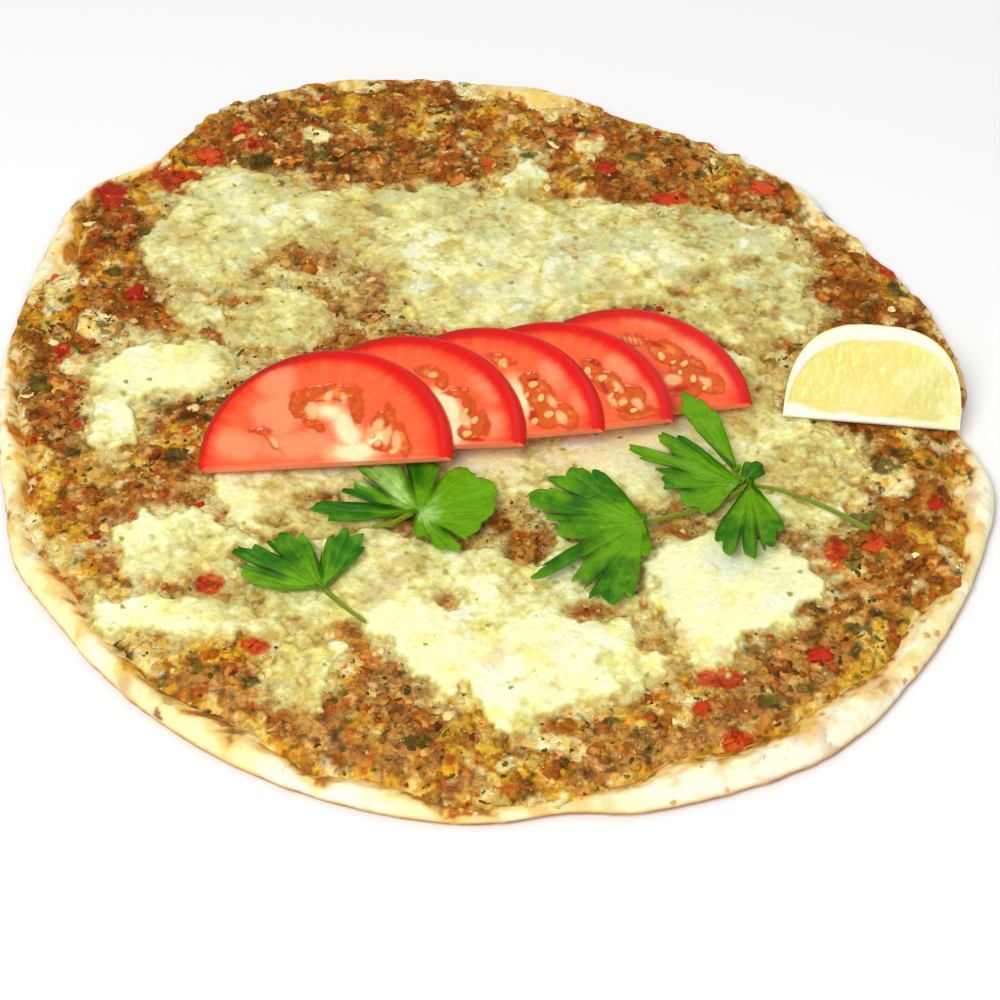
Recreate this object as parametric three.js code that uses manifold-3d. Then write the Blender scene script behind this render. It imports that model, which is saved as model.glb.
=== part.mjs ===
// Lahmacun: a thin round flatbread baked with a layer of spiced mince, melted cheese in patches,
// five overlapping tomato slices cut just past the half, a lemon wedge and three bits of parsley.
// Millimetres, +Z up. The origin is the middle of the flat underside. The front edge is at -Y,
// +X is to the right of it and +Y runs to the back edge.

import * as THREE from 'three';
import { mergeVertices } from 'three/addons/utils/BufferGeometryUtils.js';
import Module from 'manifold-3d';

// Driving dimensions

const bread = {
  meanRadius: 150.6,
  edgeWaves: [[1, 3.2, -137], [2, 7.4, -58], [3, 2.1, -6]],   // [waves round the edge, height, crest]
  // Local bulges and dents of the edge: [direction, height, half width in degrees]
  edgeBumps: [[18, 1.5, 9], [47, 3.5, 7], [72, -5.5, 7], [95, -1.5, 8], [118, 3, 9], [137, -5, 6],
    [147, 3.5, 7], [170, -2, 9], [195, -1.5, 9], [209, 2.5, 6], [279, -3.5, 6], [307, 3, 10],
    [346, 1.5, 5], [357, -7, 5]],
  rimNarrow: 4.5,             // bare rim where it is thinnest
  // The rim is wider here: [direction, height, half width]
  rimWide: [[42, 7, 6], [86, 8, 5], [108, 2, 5], [140, 2, 5], [156, 6, 7], [190, 5, 12], [213, 6, 7],
    [228, 5, 8], [244, 7, 7], [260, 5, 6], [292, 9, 8], [309, 10, 10], [326, 5, 6], [346, 9, 7]],
  rimLowest: 4.9,             // height of the narrowest rim
  rimPuff: 0.2,               // rise of the rim for each millimetre that it is wider
  rimRipple: [0.25, 11],      // [height, count] of the small swells along the rim
  // Section of the rim from the flat underside round to the mince. Each point lies inside the edge
  // by millimetres and a share of the rim's width, and stands at millimetres and a share of its height.
  rimSection: [[7, 0, 0, 0], [2.1, 0, 0.5, 0], [0.3, 0, 1.6, 0], [0, 0, 2.9, 0],
    [0.4, 0.12, -0.7, 1], [0, 0.45, 0, 1], [0, 0.75, 1.5, 0.5], [0, 1, 3, 0]],
  segments: 100,
};

const mince = {
  bottom: 3.3,
  level: 5.0,                 // flat top where cheese covers it
  edgeHeight: 4.1,
  edgeGap: 2.0,               // clear of the foot of the rim
  relief: 1.5,                // height of the lumpy ground where no cheese lies
  cell: 9.8,
  crumbs: 52,
  crumbSpacing: 11,
  crumbSize: [2.6, 4.4],      // smallest and largest half length
  crumbHeight: 3.2,
  crumbClear: 1.2,            // gap from a crumb to the cheese and the edge
  pepperHeight: 2.4,
  lemonReach: 5,              // nothing stands up this far round the lemon
};

const cheese = { bottom: 5.3, edgeHeight: 0.35, thickness: 1.25, relief: 0.3, cell: 7, gap: 1.4 };

// Each patch of cheese: soft-edged lobes [x, y, half width, half depth], less its holes
const cheesePatches = {
  cheese_back: {
    lobes: [[-82, 80, 24, 20], [-90, 57, 20, 15], [-48, 78, 20, 14], [-64, 30, 16, 14], [-18, 68, 30, 26],
      [2, 48, 34, 22], [30, 66, 34, 23], [70, 62, 28, 24], [80, 40, 19, 16], [9, 98, 7, 15]],
    holes: [[-58, 54, 11, 8], [-37, 43, 4, 13], [-80, 37, 8, 4]],
  },
  cheese_scrap: { lobes: [[-88, 30, 9, 7]], holes: [] },
  cheese_left: {
    lobes: [[-98, 5, 18, 11], [-86, 10, 10, 8], [-109, -15, 7, 17]],
    holes: [],
  },
  cheese_middle: {
    lobes: [[-52, -40, 28, 19], [-14, -22, 34, 26], [32, -20, 34, 24], [76, -24, 32, 20], [66, 4, 22, 18],
      [92, -38, 14, 12]],
    holes: [[-46, -44, 4, 3]],
  },
  cheese_front: {
    lobes: [[-84, -64, 20, 13], [-84, -91, 24, 8], [-47, -104, 10, 15], [-35, -74, 28, 19], [2, -84, 33, 24],
      [16, -101, 34, 18], [10, -118, 8, 9], [28, -76, 16, 18]],
    holes: [[-75, -78, 5, 4], [-9, -82, 4, 3], [31, -85, 7, 3], [-37, -95, 5, 4], [13, -58, 9, 8],
      [-3, -117, 3, 8]],
  },
  cheese_right: { lobes: [[69, -71, 26, 19], [64, -93, 9, 13]], holes: [] },
};

const tomato = {
  radius: 36.5,
  past: 4.0,                  // the straight cut passes this far beyond the middle
  thickness: 2.7,
  skew: 2.0,                  // the lower face lies this far to the right of the upper one
  chamberDepth: 0.5,
  chambers: [0.34, 0.76],     // seed chambers from and to, as a share of the radius
  edgeSteps: 18,
  cutSteps: 6,
  rings: [0.3, 0.56, 0.8],
};

// Each slice: middle of its upper face, its turn in its own plane, then the rise of that plane to
// the right and its tilt up to the back, in degrees. Slices with the same slope lie parallel.
const tomatoSlices = [
  { at: [-46.8, -35.8, 15.4], turn: 0, rise: 7, tilt: 9, walls: [22, 86, 128] },
  { at: [-26.1, -28.4, 15.3], turn: -1, rise: 7, tilt: 9, walls: [48, 104, 150] },
  { at: [-3.6, -23.8, 15.3], turn: 2, rise: 7, tilt: 9, walls: [38, 82, 140] },
  { at: [16.5, -20.2, 15.1], turn: 4, rise: 7, tilt: 9, walls: [30, 74, 120] },
  { at: [40.4, -9.0, 11.9], turn: 8, rise: 2, tilt: 8, walls: [52, 98, 146] },
];

const lemon = {
  at: [113.2, -9.2, 7.3],     // middle of the core edge, on the face that it lies on
  turn: -4,
  halfLength: 26,
  radius: 29.5,
  bluntness: 2.7,             // 2 would be an ellipse
  wedgeAngle: 46,
  coreHeight: 3.0,            // white core strip along the front edge
  pith: 4.5,
  pulpDepth: 0.5,
  lengthSteps: 15,
  peelSteps: 5,
};

const parsley = {
  thickness: 0.6,
  tipRise: 2.2,               // leaves curl up to their tips
  wave: 0.5,
  spokes: 16,
  rings: [0.55, 1],
  stemRadius: 1.1,
  stemSides: 5,
  stemSteps: 3,               // for each point of the route
};

// Each leaf: where its ribs meet, then lobes [x, y, half width] by their tips. A stem is a route.
const parsleyPieces = {
  parsley_left: {
    leaves: [{ hub: [-43, -82, 8.4], lobes: [[-69, -71, 3.2], [-63, -67, 3.2], [-66, -80, 2.4],
      [-55, -64, 3], [-49, -64, 2.8], [-42, -64, 2.2], [-38, -62, 2.2], [-34, -62, 2.2], [-38, -88, 3]] }],
    stems: [[[-45, -80, 8.9], [-38, -87, 8.8], [-31, -93, 8.6]]],
  },
  parsley_middle: {
    leaves: [{ hub: [-18, -53, 9], lobes: [[-48, -54, 2.8], [-41, -48, 2.6], [-38, -38, 3.2],
      [-31, -36, 3.2], [-22, -30, 2.8], [-15, -35, 2.8], [-4, -38, 6], [3, -44, 6], [3, -52, 6],
      [-1, -60, 4.5], [-5, -68, 3.6], [-12, -64, 3.6]] }],
    stems: [[[-20, -53, 9.4], [-26, -57, 9], [-31, -58, 8.6]]],
  },
  parsley_sprig: {
    leaves: [
      { hub: [45, -54, 9.6], lobes: [[24, -37, 4], [18, -41, 4], [13, -48, 4], [17, -54, 3.4],
        [21, -61, 3.6], [14, -80, 2.8], [23, -79, 3], [29, -85, 3], [35, -86, 3.4], [40, -70, 3.6]] },
      { hub: [73, -39, 10.2], lobes: [[41, -27, 2], [50, -22, 2.8], [48, -32, 5], [51, -41, 5],
        [56, -48, 4], [79, -32, 2.2]] },
      { hub: [75.5, -40, 11], lobes: [[69, -69, 3.6], [75, -70, 4], [79, -63, 4]] },
      { hub: [72, -36, 12.4], lobes: [[57, -6, 2.4], [62, -10, 2]] },
    ],
    stems: [
      [[109, -53, 8.9], [97, -46, 10], [85, -41, 10.8], [76, -39, 11.2], [71, -35, 12.4]],
      [[76, -40, 11], [62, -48, 10.4], [52, -52, 10.2], [43, -55, 10]],
    ],
  },
};

// Bits of red pepper baked into the mince: [x, y, half length, direction]
const pepperBits = [[-121, 82, 6.5, -55], [-95, 106, 5, -40], [-84, 119, 4, 20], [-110, 38, 3.5, 70],
  [35, 105, 3.5, 15], [87, 98, 3.5, -30], [112, -56, 3.5, 40], [93, -97, 3.2, 10], [61, -117, 3, 60],
  [130, -40, 3, 30]];

const colours = {
  bread: 0xf5e2ae, mince: 0xa2652f, cheese: 0xf0ecc4, tomato: 0xe2321a, lemon: 0xf3e694, parsley: 0x3f8a14,
};

// Small helpers

const turnOf = (degrees) => THREE.MathUtils.degToRad(degrees);
const blend = THREE.MathUtils.smoothstep;

// A hill of the given height round a direction of the compass
function bumpAt(angle, [direction, height, halfWidth]) {
  const away = THREE.MathUtils.euclideanModulo(angle - direction + 180, 360) - 180;
  return height * Math.exp(-((away / halfWidth) ** 2));
}

// Uneven ground between -1 and 1 whose hills are about the given length apart
function ripple(x, y, length) {
  const s = (2 * Math.PI) / length;
  const broad = Math.sin(s * (x + 0.35 * y) + 1.3) + Math.sin(s * (0.8 * y - 0.55 * x) + 4.1);
  return (broad + 0.7 * Math.sin(1.7 * s * (0.62 * x + 0.78 * y) + 2.2)) / 2.7;
}

function randomDraw(seed) {
  let state = seed;
  return () => {
    state = (state * 1664525 + 1013904223) % 4294967296;
    return state / 4294967296;
  };
}

function geometryOf(points, faces) {
  const geometry = new THREE.BufferGeometry();
  geometry.setAttribute('position', new THREE.Float32BufferAttribute(points.flat(), 3));
  geometry.setIndex(faces.flat());
  return geometry;
}

// Joins two rings of points, given by the index of their first point, by a band of triangles
function band(faces, lower, upper, count) {
  for (let k = 0; k < count; k += 1) {
    const next = (k + 1) % count;
    faces.push([lower + k, lower + next, upper + next], [lower + k, upper + next, upper + k]);
  }
}

// Joining and cutting

const wasm = await Module();
wasm.setup();

function solidOf(geometry) {
  const bare = geometry.clone();
  bare.deleteAttribute('normal');
  bare.deleteAttribute('uv');
  const merged = mergeVertices(bare, 1e-4);
  return new wasm.Manifold(new wasm.Mesh({
    numProp: 3,
    vertProperties: new Float32Array(merged.attributes.position.array),
    triVerts: new Uint32Array(merged.index.array),
  }));
}

function joined(geometries) {
  const whole = geometries.map(solidOf).reduce((sum, next) => sum.add(next));
  const mesh = whole.getMesh();
  const geometry = new THREE.BufferGeometry();
  geometry.setAttribute('position', new THREE.BufferAttribute(mesh.vertProperties, 3));
  geometry.setIndex(new THREE.BufferAttribute(mesh.triVerts, 1));
  return geometry;
}

// Outline of the bread and its rim

function edgeRadius(angle) {
  const waves = bread.edgeWaves.reduce(
    (sum, [count, height, crest]) => sum + height * Math.cos(turnOf(count * (angle - crest))), 0);
  return bread.edgeBumps.reduce((sum, bump) => sum + bumpAt(angle, bump), bread.meanRadius + waves);
}

function rimWidth(angle) {
  return bread.rimWide.reduce((sum, bump) => sum + bumpAt(angle, bump), bread.rimNarrow);
}

function rimHeight(angle) {
  const puffed = bread.rimPuff * (rimWidth(angle) - bread.rimNarrow);
  const [swell, count] = bread.rimRipple;
  return bread.rimLowest + puffed + swell * Math.sin(turnOf(count * angle));
}

// How far a point lies inside the edge of the mince, in millimetres
function insideMince(x, y) {
  const angle = THREE.MathUtils.radToDeg(Math.atan2(y, x));
  return edgeRadius(angle) - rimWidth(angle) - mince.edgeGap - Math.hypot(x, y);
}

function breadGeometry() {
  const points = [];
  const faces = [];
  const rings = bread.rimSection.length;
  for (let k = 0; k < bread.segments; k += 1) {
    const angle = (360 * k) / bread.segments;
    for (const [inset, widths, height, crests] of bread.rimSection) {
      const radius = edgeRadius(angle) - inset - widths * rimWidth(angle);
      const level = height + crests * rimHeight(angle);
      points.push([radius * Math.cos(turnOf(angle)), radius * Math.sin(turnOf(angle)), level]);
    }
  }
  const at = (segment, ring) => (segment % bread.segments) * rings + ring;
  for (let k = 0; k < bread.segments; k += 1) {
    for (let ring = 0; ring < rings - 1; ring += 1) {
      faces.push([at(k, ring), at(k + 1, ring), at(k + 1, ring + 1)]);
      faces.push([at(k, ring), at(k + 1, ring + 1), at(k, ring + 1)]);
    }
  }
  for (const [ring, upwards] of [[0, false], [rings - 1, true]]) {
    const loop = Array.from({ length: bread.segments }, (_, k) => at(k, ring));
    const contour = loop.map((index) => new THREE.Vector2(points[index][0], points[index][1]));
    for (const [a, b, c] of THREE.ShapeUtils.triangulateShape(contour, [])) {
      faces.push(upwards ? [loop[a], loop[b], loop[c]] : [loop[c], loop[b], loop[a]]);
    }
  }
  return geometryOf(points, faces);
}

// Layers that spread: the place that a field calls inside, on a grid cut along its edge

// Follows the edges of the outline into closed loops
function loopsOf(edges) {
  const after = new Map(edges);
  const loops = [];
  while (after.size > 0) {
    const [start] = after.keys();
    const loop = [];
    for (let at = start; after.has(at);) {
      const next = after.get(at);
      after.delete(at);
      loop.push(at);
      at = next;
    }
    loops.push(loop);
  }
  return loops;
}

// Keeps the triangles of the largest connected piece
function largestPiece(faces, count) {
  const parent = Array.from({ length: count }, (_, k) => k);
  const root = (k) => {
    let at = k;
    while (parent[at] !== at) at = parent[at];
    return at;
  };
  for (const [a, b, c] of faces) {
    parent[root(a)] = root(c);
    parent[root(b)] = root(c);
  }
  const sizes = new Map();
  for (const [a] of faces) sizes.set(root(a), (sizes.get(root(a)) ?? 0) + 1);
  const [largest] = [...sizes].sort((p, q) => q[1] - p[1])[0];
  return faces.filter(([a]) => root(a) === largest);
}

// field(x, y) is over zero inside; top(x, y, inside) gives the height of the upper face
function spreadGeometry({ field, top, bottom, cell }) {
  const reach = Math.ceil((bread.meanRadius + 20) / cell);
  const flat = [];
  const known = new Map();
  const pointAt = (key, make) => {
    if (!known.has(key)) {
      known.set(key, flat.length);
      flat.push(make());
    }
    return known.get(key);
  };
  const corner = (i, j) => {
    const [x, y] = [i * cell, j * cell];
    return { key: `${i},${j}`, x, y, inside: field(x, y) };
  };
  const crossing = (a, b) => {
    const [from, to] = a.key < b.key ? [a, b] : [b, a];
    const share = THREE.MathUtils.clamp(from.inside / (from.inside - to.inside), 0.12, 0.88);
    return pointAt(`${from.key}|${to.key}`, () => [
      from.x + share * (to.x - from.x), from.y + share * (to.y - from.y), 0]);
  };

  let upper = [];
  for (let i = -reach; i < reach; i += 1) {
    for (let j = -reach; j < reach; j += 1) {
      const [a, b, c, d] = [corner(i, j), corner(i + 1, j), corner(i + 1, j + 1), corner(i, j + 1)];
      const halves = (i + j) % 2 === 0 ? [[a, b, c], [a, c, d]] : [[a, b, d], [b, c, d]];
      for (const triangle of halves) {
        const polygon = [];
        triangle.forEach((from, k) => {
          const to = triangle[(k + 1) % 3];
          if (from.inside > 0) polygon.push(pointAt(from.key, () => [from.x, from.y, from.inside]));
          if (from.inside > 0 !== to.inside > 0) polygon.push(crossing(from, to));
        });
        for (let k = 1; k + 1 < polygon.length; k += 1) upper.push([polygon[0], polygon[k], polygon[k + 1]]);
      }
    }
  }
  upper = largestPiece(upper, flat.length);

  const sides = new Set(upper.flatMap(([a, b, c]) => [`${a},${b}`, `${b},${c}`, `${c},${a}`]));
  const edges = [...sides].map((side) => side.split(',').map(Number))
    .filter(([a, b]) => !sides.has(`${b},${a}`));
  const points = flat.map(([x, y, inside]) => [x, y, top(x, y, inside)]);
  const below = new Map();
  for (const [a] of edges) {
    below.set(a, points.length);
    points.push([flat[a][0], flat[a][1], bottom]);
  }
  const faces = [...upper];
  for (const [a, b] of edges) {
    faces.push([below.get(a), below.get(b), b], [below.get(a), b, a]);
  }
  const loops = loopsOf(edges).map((loop) => ({
    loop, contour: loop.map((index) => new THREE.Vector2(flat[index][0], flat[index][1])),
  }));
  loops.sort((p, q) => THREE.ShapeUtils.area(q.contour) - THREE.ShapeUtils.area(p.contour));
  const [outer, ...holes] = loops;
  const order = loops.flatMap(({ loop }) => loop);
  for (const triangle of THREE.ShapeUtils.triangulateShape(outer.contour, holes.map((h) => h.contour))) {
    const [a, b, c] = triangle.map((k) => below.get(order[k]));
    faces.push([c, b, a]);
  }
  const used = [...new Set(faces.flat())].sort((p, q) => p - q);
  const renumbered = new Map(used.map((index, k) => [index, k]));
  const numbered = faces.map((face) => face.map((k) => renumbered.get(k)));
  return geometryOf(used.map((index) => points[index]), numbered);
}

// Cheese

function lobeField(x, y, [cx, cy, halfWidth, halfDepth]) {
  const out = Math.hypot((x - cx) / halfWidth, (y - cy) / halfDepth);
  return (1 - out) * Math.min(halfWidth, halfDepth);
}

// How far a point lies inside a patch of cheese, before the patches are kept apart
function lobedField(x, y, { lobes, holes }) {
  const soft = 3;
  const sum = lobes.reduce((total, lobe) => total + Math.exp(lobeField(x, y, lobe) / soft), 0);
  const filled = soft * Math.log(sum) + 1.6 * ripple(x, y, 17) - 0.6;
  return holes.reduce((least, hole) => Math.min(least, -lobeField(x, y, hole)), filled);
}

const patchNames = Object.keys(cheesePatches);

// Later patches stop short of the earlier ones
function cheeseField(name, x, y) {
  const earlier = patchNames.slice(0, patchNames.indexOf(name));
  return earlier.reduce(
    (least, other) => Math.min(least, -lobedField(x, y, cheesePatches[other]) - cheese.gap),
    lobedField(x, y, cheesePatches[name]));
}

function cheeseTop(x, y, inside) {
  const full = cheese.thickness - cheese.edgeHeight + cheese.relief * ripple(x, y, 19);
  return cheese.bottom + cheese.edgeHeight + full * blend(inside, 0, 7);
}

function cheeseGeometry(name) {
  return spreadGeometry({
    field: (x, y) => cheeseField(name, x, y),
    top: cheeseTop,
    bottom: cheese.bottom,
    cell: cheese.cell,
  });
}

// Mince

// How far a point of the mince lies from any cheese
function clearOfCheese(x, y) {
  return Math.min(...patchNames.map((name) => -lobedField(x, y, cheesePatches[name])));
}

function underLemon(x, y) {
  const [cx, cy] = lemon.at;
  const reach = mince.lemonReach;
  return Math.abs(x - cx) < lemon.halfLength + reach && y > cy - reach && y < cy + lemon.radius + reach;
}

function minceTop(x, y, inside) {
  const shelf = mince.edgeHeight + (mince.level - mince.edgeHeight) * blend(inside, 0, mince.cell);
  if (underLemon(x, y)) return shelf;
  const open = blend(clearOfCheese(x, y), 0.8 * mince.cell, 2 * mince.cell);
  return shelf + mince.relief * open * (0.45 + 0.55 * ripple(x, y, 23)) * blend(inside, 0, mince.cell);
}

// A rough lump of meat: a squat four-sided stump with its corners moved at random
function crumbGeometry(draw, x, y) {
  const [small, large] = mince.crumbSize;
  const stump = new THREE.CylinderGeometry(0.6, 1, 1, 4).deleteAttribute('normal').deleteAttribute('uv');
  const geometry = mergeVertices(stump).rotateX(0.5 * Math.PI);
  const corners = geometry.attributes.position;
  for (let k = 0; k < corners.count; k += 1) {
    const reach = 0.8 + 0.4 * draw();
    corners.setXYZ(k, corners.getX(k) * reach, corners.getY(k) * reach, corners.getZ(k) * reach);
  }
  const length = small + (large - small) * draw();
  geometry.scale(length, length * (0.65 + 0.25 * draw()), mince.crumbHeight);
  geometry.rotateZ(2 * Math.PI * draw());
  return geometry.translate(x, y, mince.level + 0.35 + 0.5 * draw());
}

function pepperGeometry([x, y, halfLength, direction]) {
  const geometry = new THREE.BoxGeometry(2 * halfLength, 1.15 * halfLength, mince.pepperHeight);
  geometry.rotateY(turnOf(6)).rotateZ(turnOf(direction));
  return geometry.translate(x, y, mince.level + 0.5);
}

// Places for crumbs: open mince, spread evenly, in a fixed random order
function crumbPlaces(draw) {
  const places = pepperBits.map(([x, y]) => [x, y]);
  const [, largest] = mince.crumbSize;
  const mostTries = 9000;
  for (let tries = 0; tries < mostTries && places.length < mince.crumbs + pepperBits.length; tries += 1) {
    const radius = bread.meanRadius * Math.sqrt(draw());
    const angle = 2 * Math.PI * draw();
    const [x, y] = [radius * Math.cos(angle), radius * Math.sin(angle)];
    const clear = Math.min(insideMince(x, y), clearOfCheese(x, y)) - largest;
    const open = clear > mince.crumbClear && !underLemon(x, y);
    const apart = places.every(([px, py]) => Math.hypot(px - x, py - y) > mince.crumbSpacing);
    if (open && apart) places.push([x, y]);
  }
  return places.slice(pepperBits.length);
}

function minceGeometry() {
  const { bottom, cell } = mince;
  const layer = spreadGeometry({ field: insideMince, top: minceTop, bottom, cell });
  const draw = randomDraw(7);
  const crumbs = crumbPlaces(draw).map(([x, y]) => crumbGeometry(draw, x, y));
  return joined([layer, ...pepperBits.map(pepperGeometry), ...crumbs]);
}

// Tomato

// Depth of the seed chambers between the fleshy walls of a slice
function chamberAt(x, y, walls) {
  const share = Math.hypot(x, y) / tomato.radius;
  const angle = THREE.MathUtils.radToDeg(Math.atan2(y, x));
  const [from, to] = tomato.chambers;
  const ring = blend(share, from - 0.08, from + 0.08) * (1 - blend(share, to - 0.08, to + 0.08));
  const wall = walls.reduce((most, at) => Math.max(most, bumpAt(angle, [at, 1, 9])), 0);
  return tomato.chamberDepth * ring * (1 - wall);
}

function tomatoGeometry(walls) {
  const { radius, past, thickness, skew } = tomato;
  const start = Math.asin(past / radius);
  const outline = [];
  for (let k = 0; k <= tomato.edgeSteps; k += 1) {
    const angle = -start + ((Math.PI + 2 * start) * k) / tomato.edgeSteps;
    outline.push([(radius - 0.5 * skew) * Math.cos(angle), radius * Math.sin(angle)]);
  }
  const [right, left] = [outline[0], outline[tomato.edgeSteps]];
  for (let k = 1; k < tomato.cutSteps; k += 1) {
    outline.push([left[0] + ((right[0] - left[0]) * k) / tomato.cutSteps, -past]);
  }
  const count = outline.length;
  const hub = [0, 0.28 * radius];
  const points = outline.map(([x, y]) => [x + skew, y, -thickness]);
  points.push(...outline.map(([x, y]) => [x, y, 0]));
  for (const share of [...tomato.rings].reverse()) {
    for (const [ox, oy] of outline) {
      const [x, y] = [hub[0] + share * (ox - hub[0]), hub[1] + share * (oy - hub[1])];
      points.push([x, y, -chamberAt(x, y, walls)]);
    }
  }
  points.push([...hub, 0], [hub[0] + skew, hub[1], -thickness]);
  const faces = [];
  const ringCount = tomato.rings.length + 1;
  for (let ring = 0; ring < ringCount; ring += 1) band(faces, ring * count, (ring + 1) * count, count);
  const [upperHub, lowerHub] = [points.length - 2, points.length - 1];
  for (let k = 0; k < count; k += 1) {
    const next = (k + 1) % count;
    faces.push([ringCount * count + k, ringCount * count + next, upperHub], [next, k, lowerHub]);
  }
  return geometryOf(points, faces);
}

// Lemon: a wedge cut lengthwise, lying on one cut face with the other turned up to the front

function lemonGeometry() {
  const { halfLength, radius, bluntness, coreHeight, pith, pulpDepth, lengthSteps, peelSteps } = lemon;
  const tilt = turnOf(lemon.wedgeAngle);
  const up = [Math.cos(tilt), Math.sin(tilt)];
  const points = [];
  const sectionCount = peelSteps + 6;
  for (let k = 0; k <= lengthSteps; k += 1) {
    const along = -Math.cos((Math.PI * (k + 0.35)) / (lengthSteps + 0.7));
    const reach = radius * (1 - Math.abs(along) ** bluntness) ** (1 / bluntness);
    const inner = Math.max(0.35 * reach, reach - pith);
    const low = Math.min(coreHeight, 0.3 * reach);
    const dip = pulpDepth * blend(reach, 0.4 * radius, 0.7 * radius);
    const section = [[0, 0]];
    for (let j = 0; j <= peelSteps; j += 1) {
      const angle = (tilt * j) / peelSteps;
      section.push([reach * Math.cos(angle), reach * Math.sin(angle)]);
    }
    section.push([inner * up[0], inner * up[1]]);
    for (const share of [0.94, 0.3]) {
      const out = share * inner;
      section.push([out * up[0] + dip * up[1], out * up[1] - dip * up[0]]);
    }
    section.push([low * up[0] / up[1], low]);
    for (const [y, z] of section) points.push([halfLength * along, y, z]);
  }
  const faces = [];
  const at = (station, k) => station * sectionCount + (k % sectionCount);
  for (let station = 0; station < lengthSteps; station += 1) {
    for (let k = 0; k < sectionCount; k += 1) {
      faces.push([at(station, k), at(station, k + 1), at(station + 1, k + 1)]);
      faces.push([at(station, k), at(station + 1, k + 1), at(station + 1, k)]);
    }
  }
  for (let k = 1; k + 1 < sectionCount; k += 1) {
    faces.push([at(0, 0), at(0, k + 1), at(0, k)]);
    faces.push([at(lengthSteps, 0), at(lengthSteps, k), at(lengthSteps, k + 1)]);
  }
  return geometryOf(points, faces);
}

// Parsley

// Distance from the hub to the edge of a lobe, an ellipse that runs from the hub to its tip
function lobeReach(angle, hub, [tipX, tipY, halfWidth]) {
  const away = angle - Math.atan2(tipY - hub[1], tipX - hub[0]);
  const half = 0.5 * Math.hypot(tipX - hub[0], tipY - hub[1]);
  const across = Math.cos(away);
  if (across <= 0) return 0;
  return (2 * half * halfWidth ** 2 * across) / ((halfWidth * across) ** 2 + (half * Math.sin(away)) ** 2);
}

function leafGeometry({ hub, lobes }) {
  const tips = lobes.map(([x, y]) => Math.atan2(y - hub[1], x - hub[0]));
  const step = (2 * Math.PI) / parsley.spokes;
  const even = Array.from({ length: parsley.spokes }, (_, k) => -Math.PI + step * k);
  const near = (angle) => tips.some((tip) => Math.abs(tip - angle) < 0.05);
  const angles = [...tips, ...even.filter((angle) => !near(angle))].sort((p, q) => p - q);
  const count = angles.length;
  const heightAt = (x, y, share) => hub[2] + parsley.tipRise * share ** 2 + parsley.wave * ripple(x, y, 13);
  const points = [];
  for (const lift of [0, parsley.thickness]) {
    points.push([hub[0], hub[1], heightAt(hub[0], hub[1], 0) + lift]);
    for (const share of parsley.rings) {
      for (const angle of angles) {
        const reach = share * Math.max(1.2, ...lobes.map((lobe) => lobeReach(angle, hub, lobe)));
        const [x, y] = [hub[0] + reach * Math.cos(angle), hub[1] + reach * Math.sin(angle)];
        points.push([x, y, heightAt(x, y, share) + lift]);
      }
    }
  }
  const faces = [];
  const layer = 1 + parsley.rings.length * count;
  for (let k = 0; k < count; k += 1) {
    const next = (k + 1) % count;
    const lower = [[0, 1 + next, 1 + k]];
    for (let ring = 1; ring < parsley.rings.length; ring += 1) {
      const [inner, outer] = [1 + (ring - 1) * count, 1 + ring * count];
      lower.push([inner + k, inner + next, outer + next], [inner + k, outer + next, outer + k]);
    }
    for (const [a, b, c] of lower) faces.push([a, b, c], [c + layer, b + layer, a + layer]);
    const rim = 1 + (parsley.rings.length - 1) * count;
    faces.push([rim + k, rim + next, rim + next + layer], [rim + k, rim + next + layer, rim + k + layer]);
  }
  return geometryOf(points, faces);
}

function stemGeometry(route) {
  const curve = new THREE.CatmullRomCurve3(route.map((point) => new THREE.Vector3(...point)));
  const section = new THREE.Shape();
  section.absarc(0, 0, parsley.stemRadius, 0, 2 * Math.PI, false);
  const steps = parsley.stemSteps * (route.length - 1);
  return new THREE.ExtrudeGeometry(section, { steps, curveSegments: parsley.stemSides, extrudePath: curve });
}

function parsleyGeometry({ leaves, stems }) {
  return joined([...leaves.map(leafGeometry), ...stems.map(stemGeometry)]);
}

// The whole

const lahmacun = new THREE.Group();

function addNode(name, geometry, color, roughness) {
  const mesh = new THREE.Mesh(geometry, new THREE.MeshStandardMaterial({ color, roughness, metalness: 0 }));
  mesh.name = name;
  lahmacun.add(mesh);
  return mesh;
}

addNode('flatbread', breadGeometry(), colours.bread, 0.75);
addNode('mince', minceGeometry(), colours.mince, 0.55);
for (const name of patchNames) addNode(name, cheeseGeometry(name), colours.cheese, 0.4);

tomatoSlices.forEach(({ at, turn, rise, tilt, walls }, index) => {
  const slice = addNode(`tomato_slice_${index + 1}`, tomatoGeometry(walls), colours.tomato, 0.35);
  slice.position.set(...at);
  slice.rotation.set(turnOf(tilt), turnOf(-rise), turnOf(turn), 'YXZ');
});

const wedge = addNode('lemon_wedge', lemonGeometry(), colours.lemon, 0.4);
wedge.position.set(...lemon.at);
wedge.rotation.z = turnOf(lemon.turn);

for (const [name, piece] of Object.entries(parsleyPieces)) {
  addNode(name, parsleyGeometry(piece), colours.parsley, 0.5);
}

export default lahmacun;
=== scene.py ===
import math

import bmesh
import bpy
import numpy as np
from mathutils import Matrix, Vector


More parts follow.
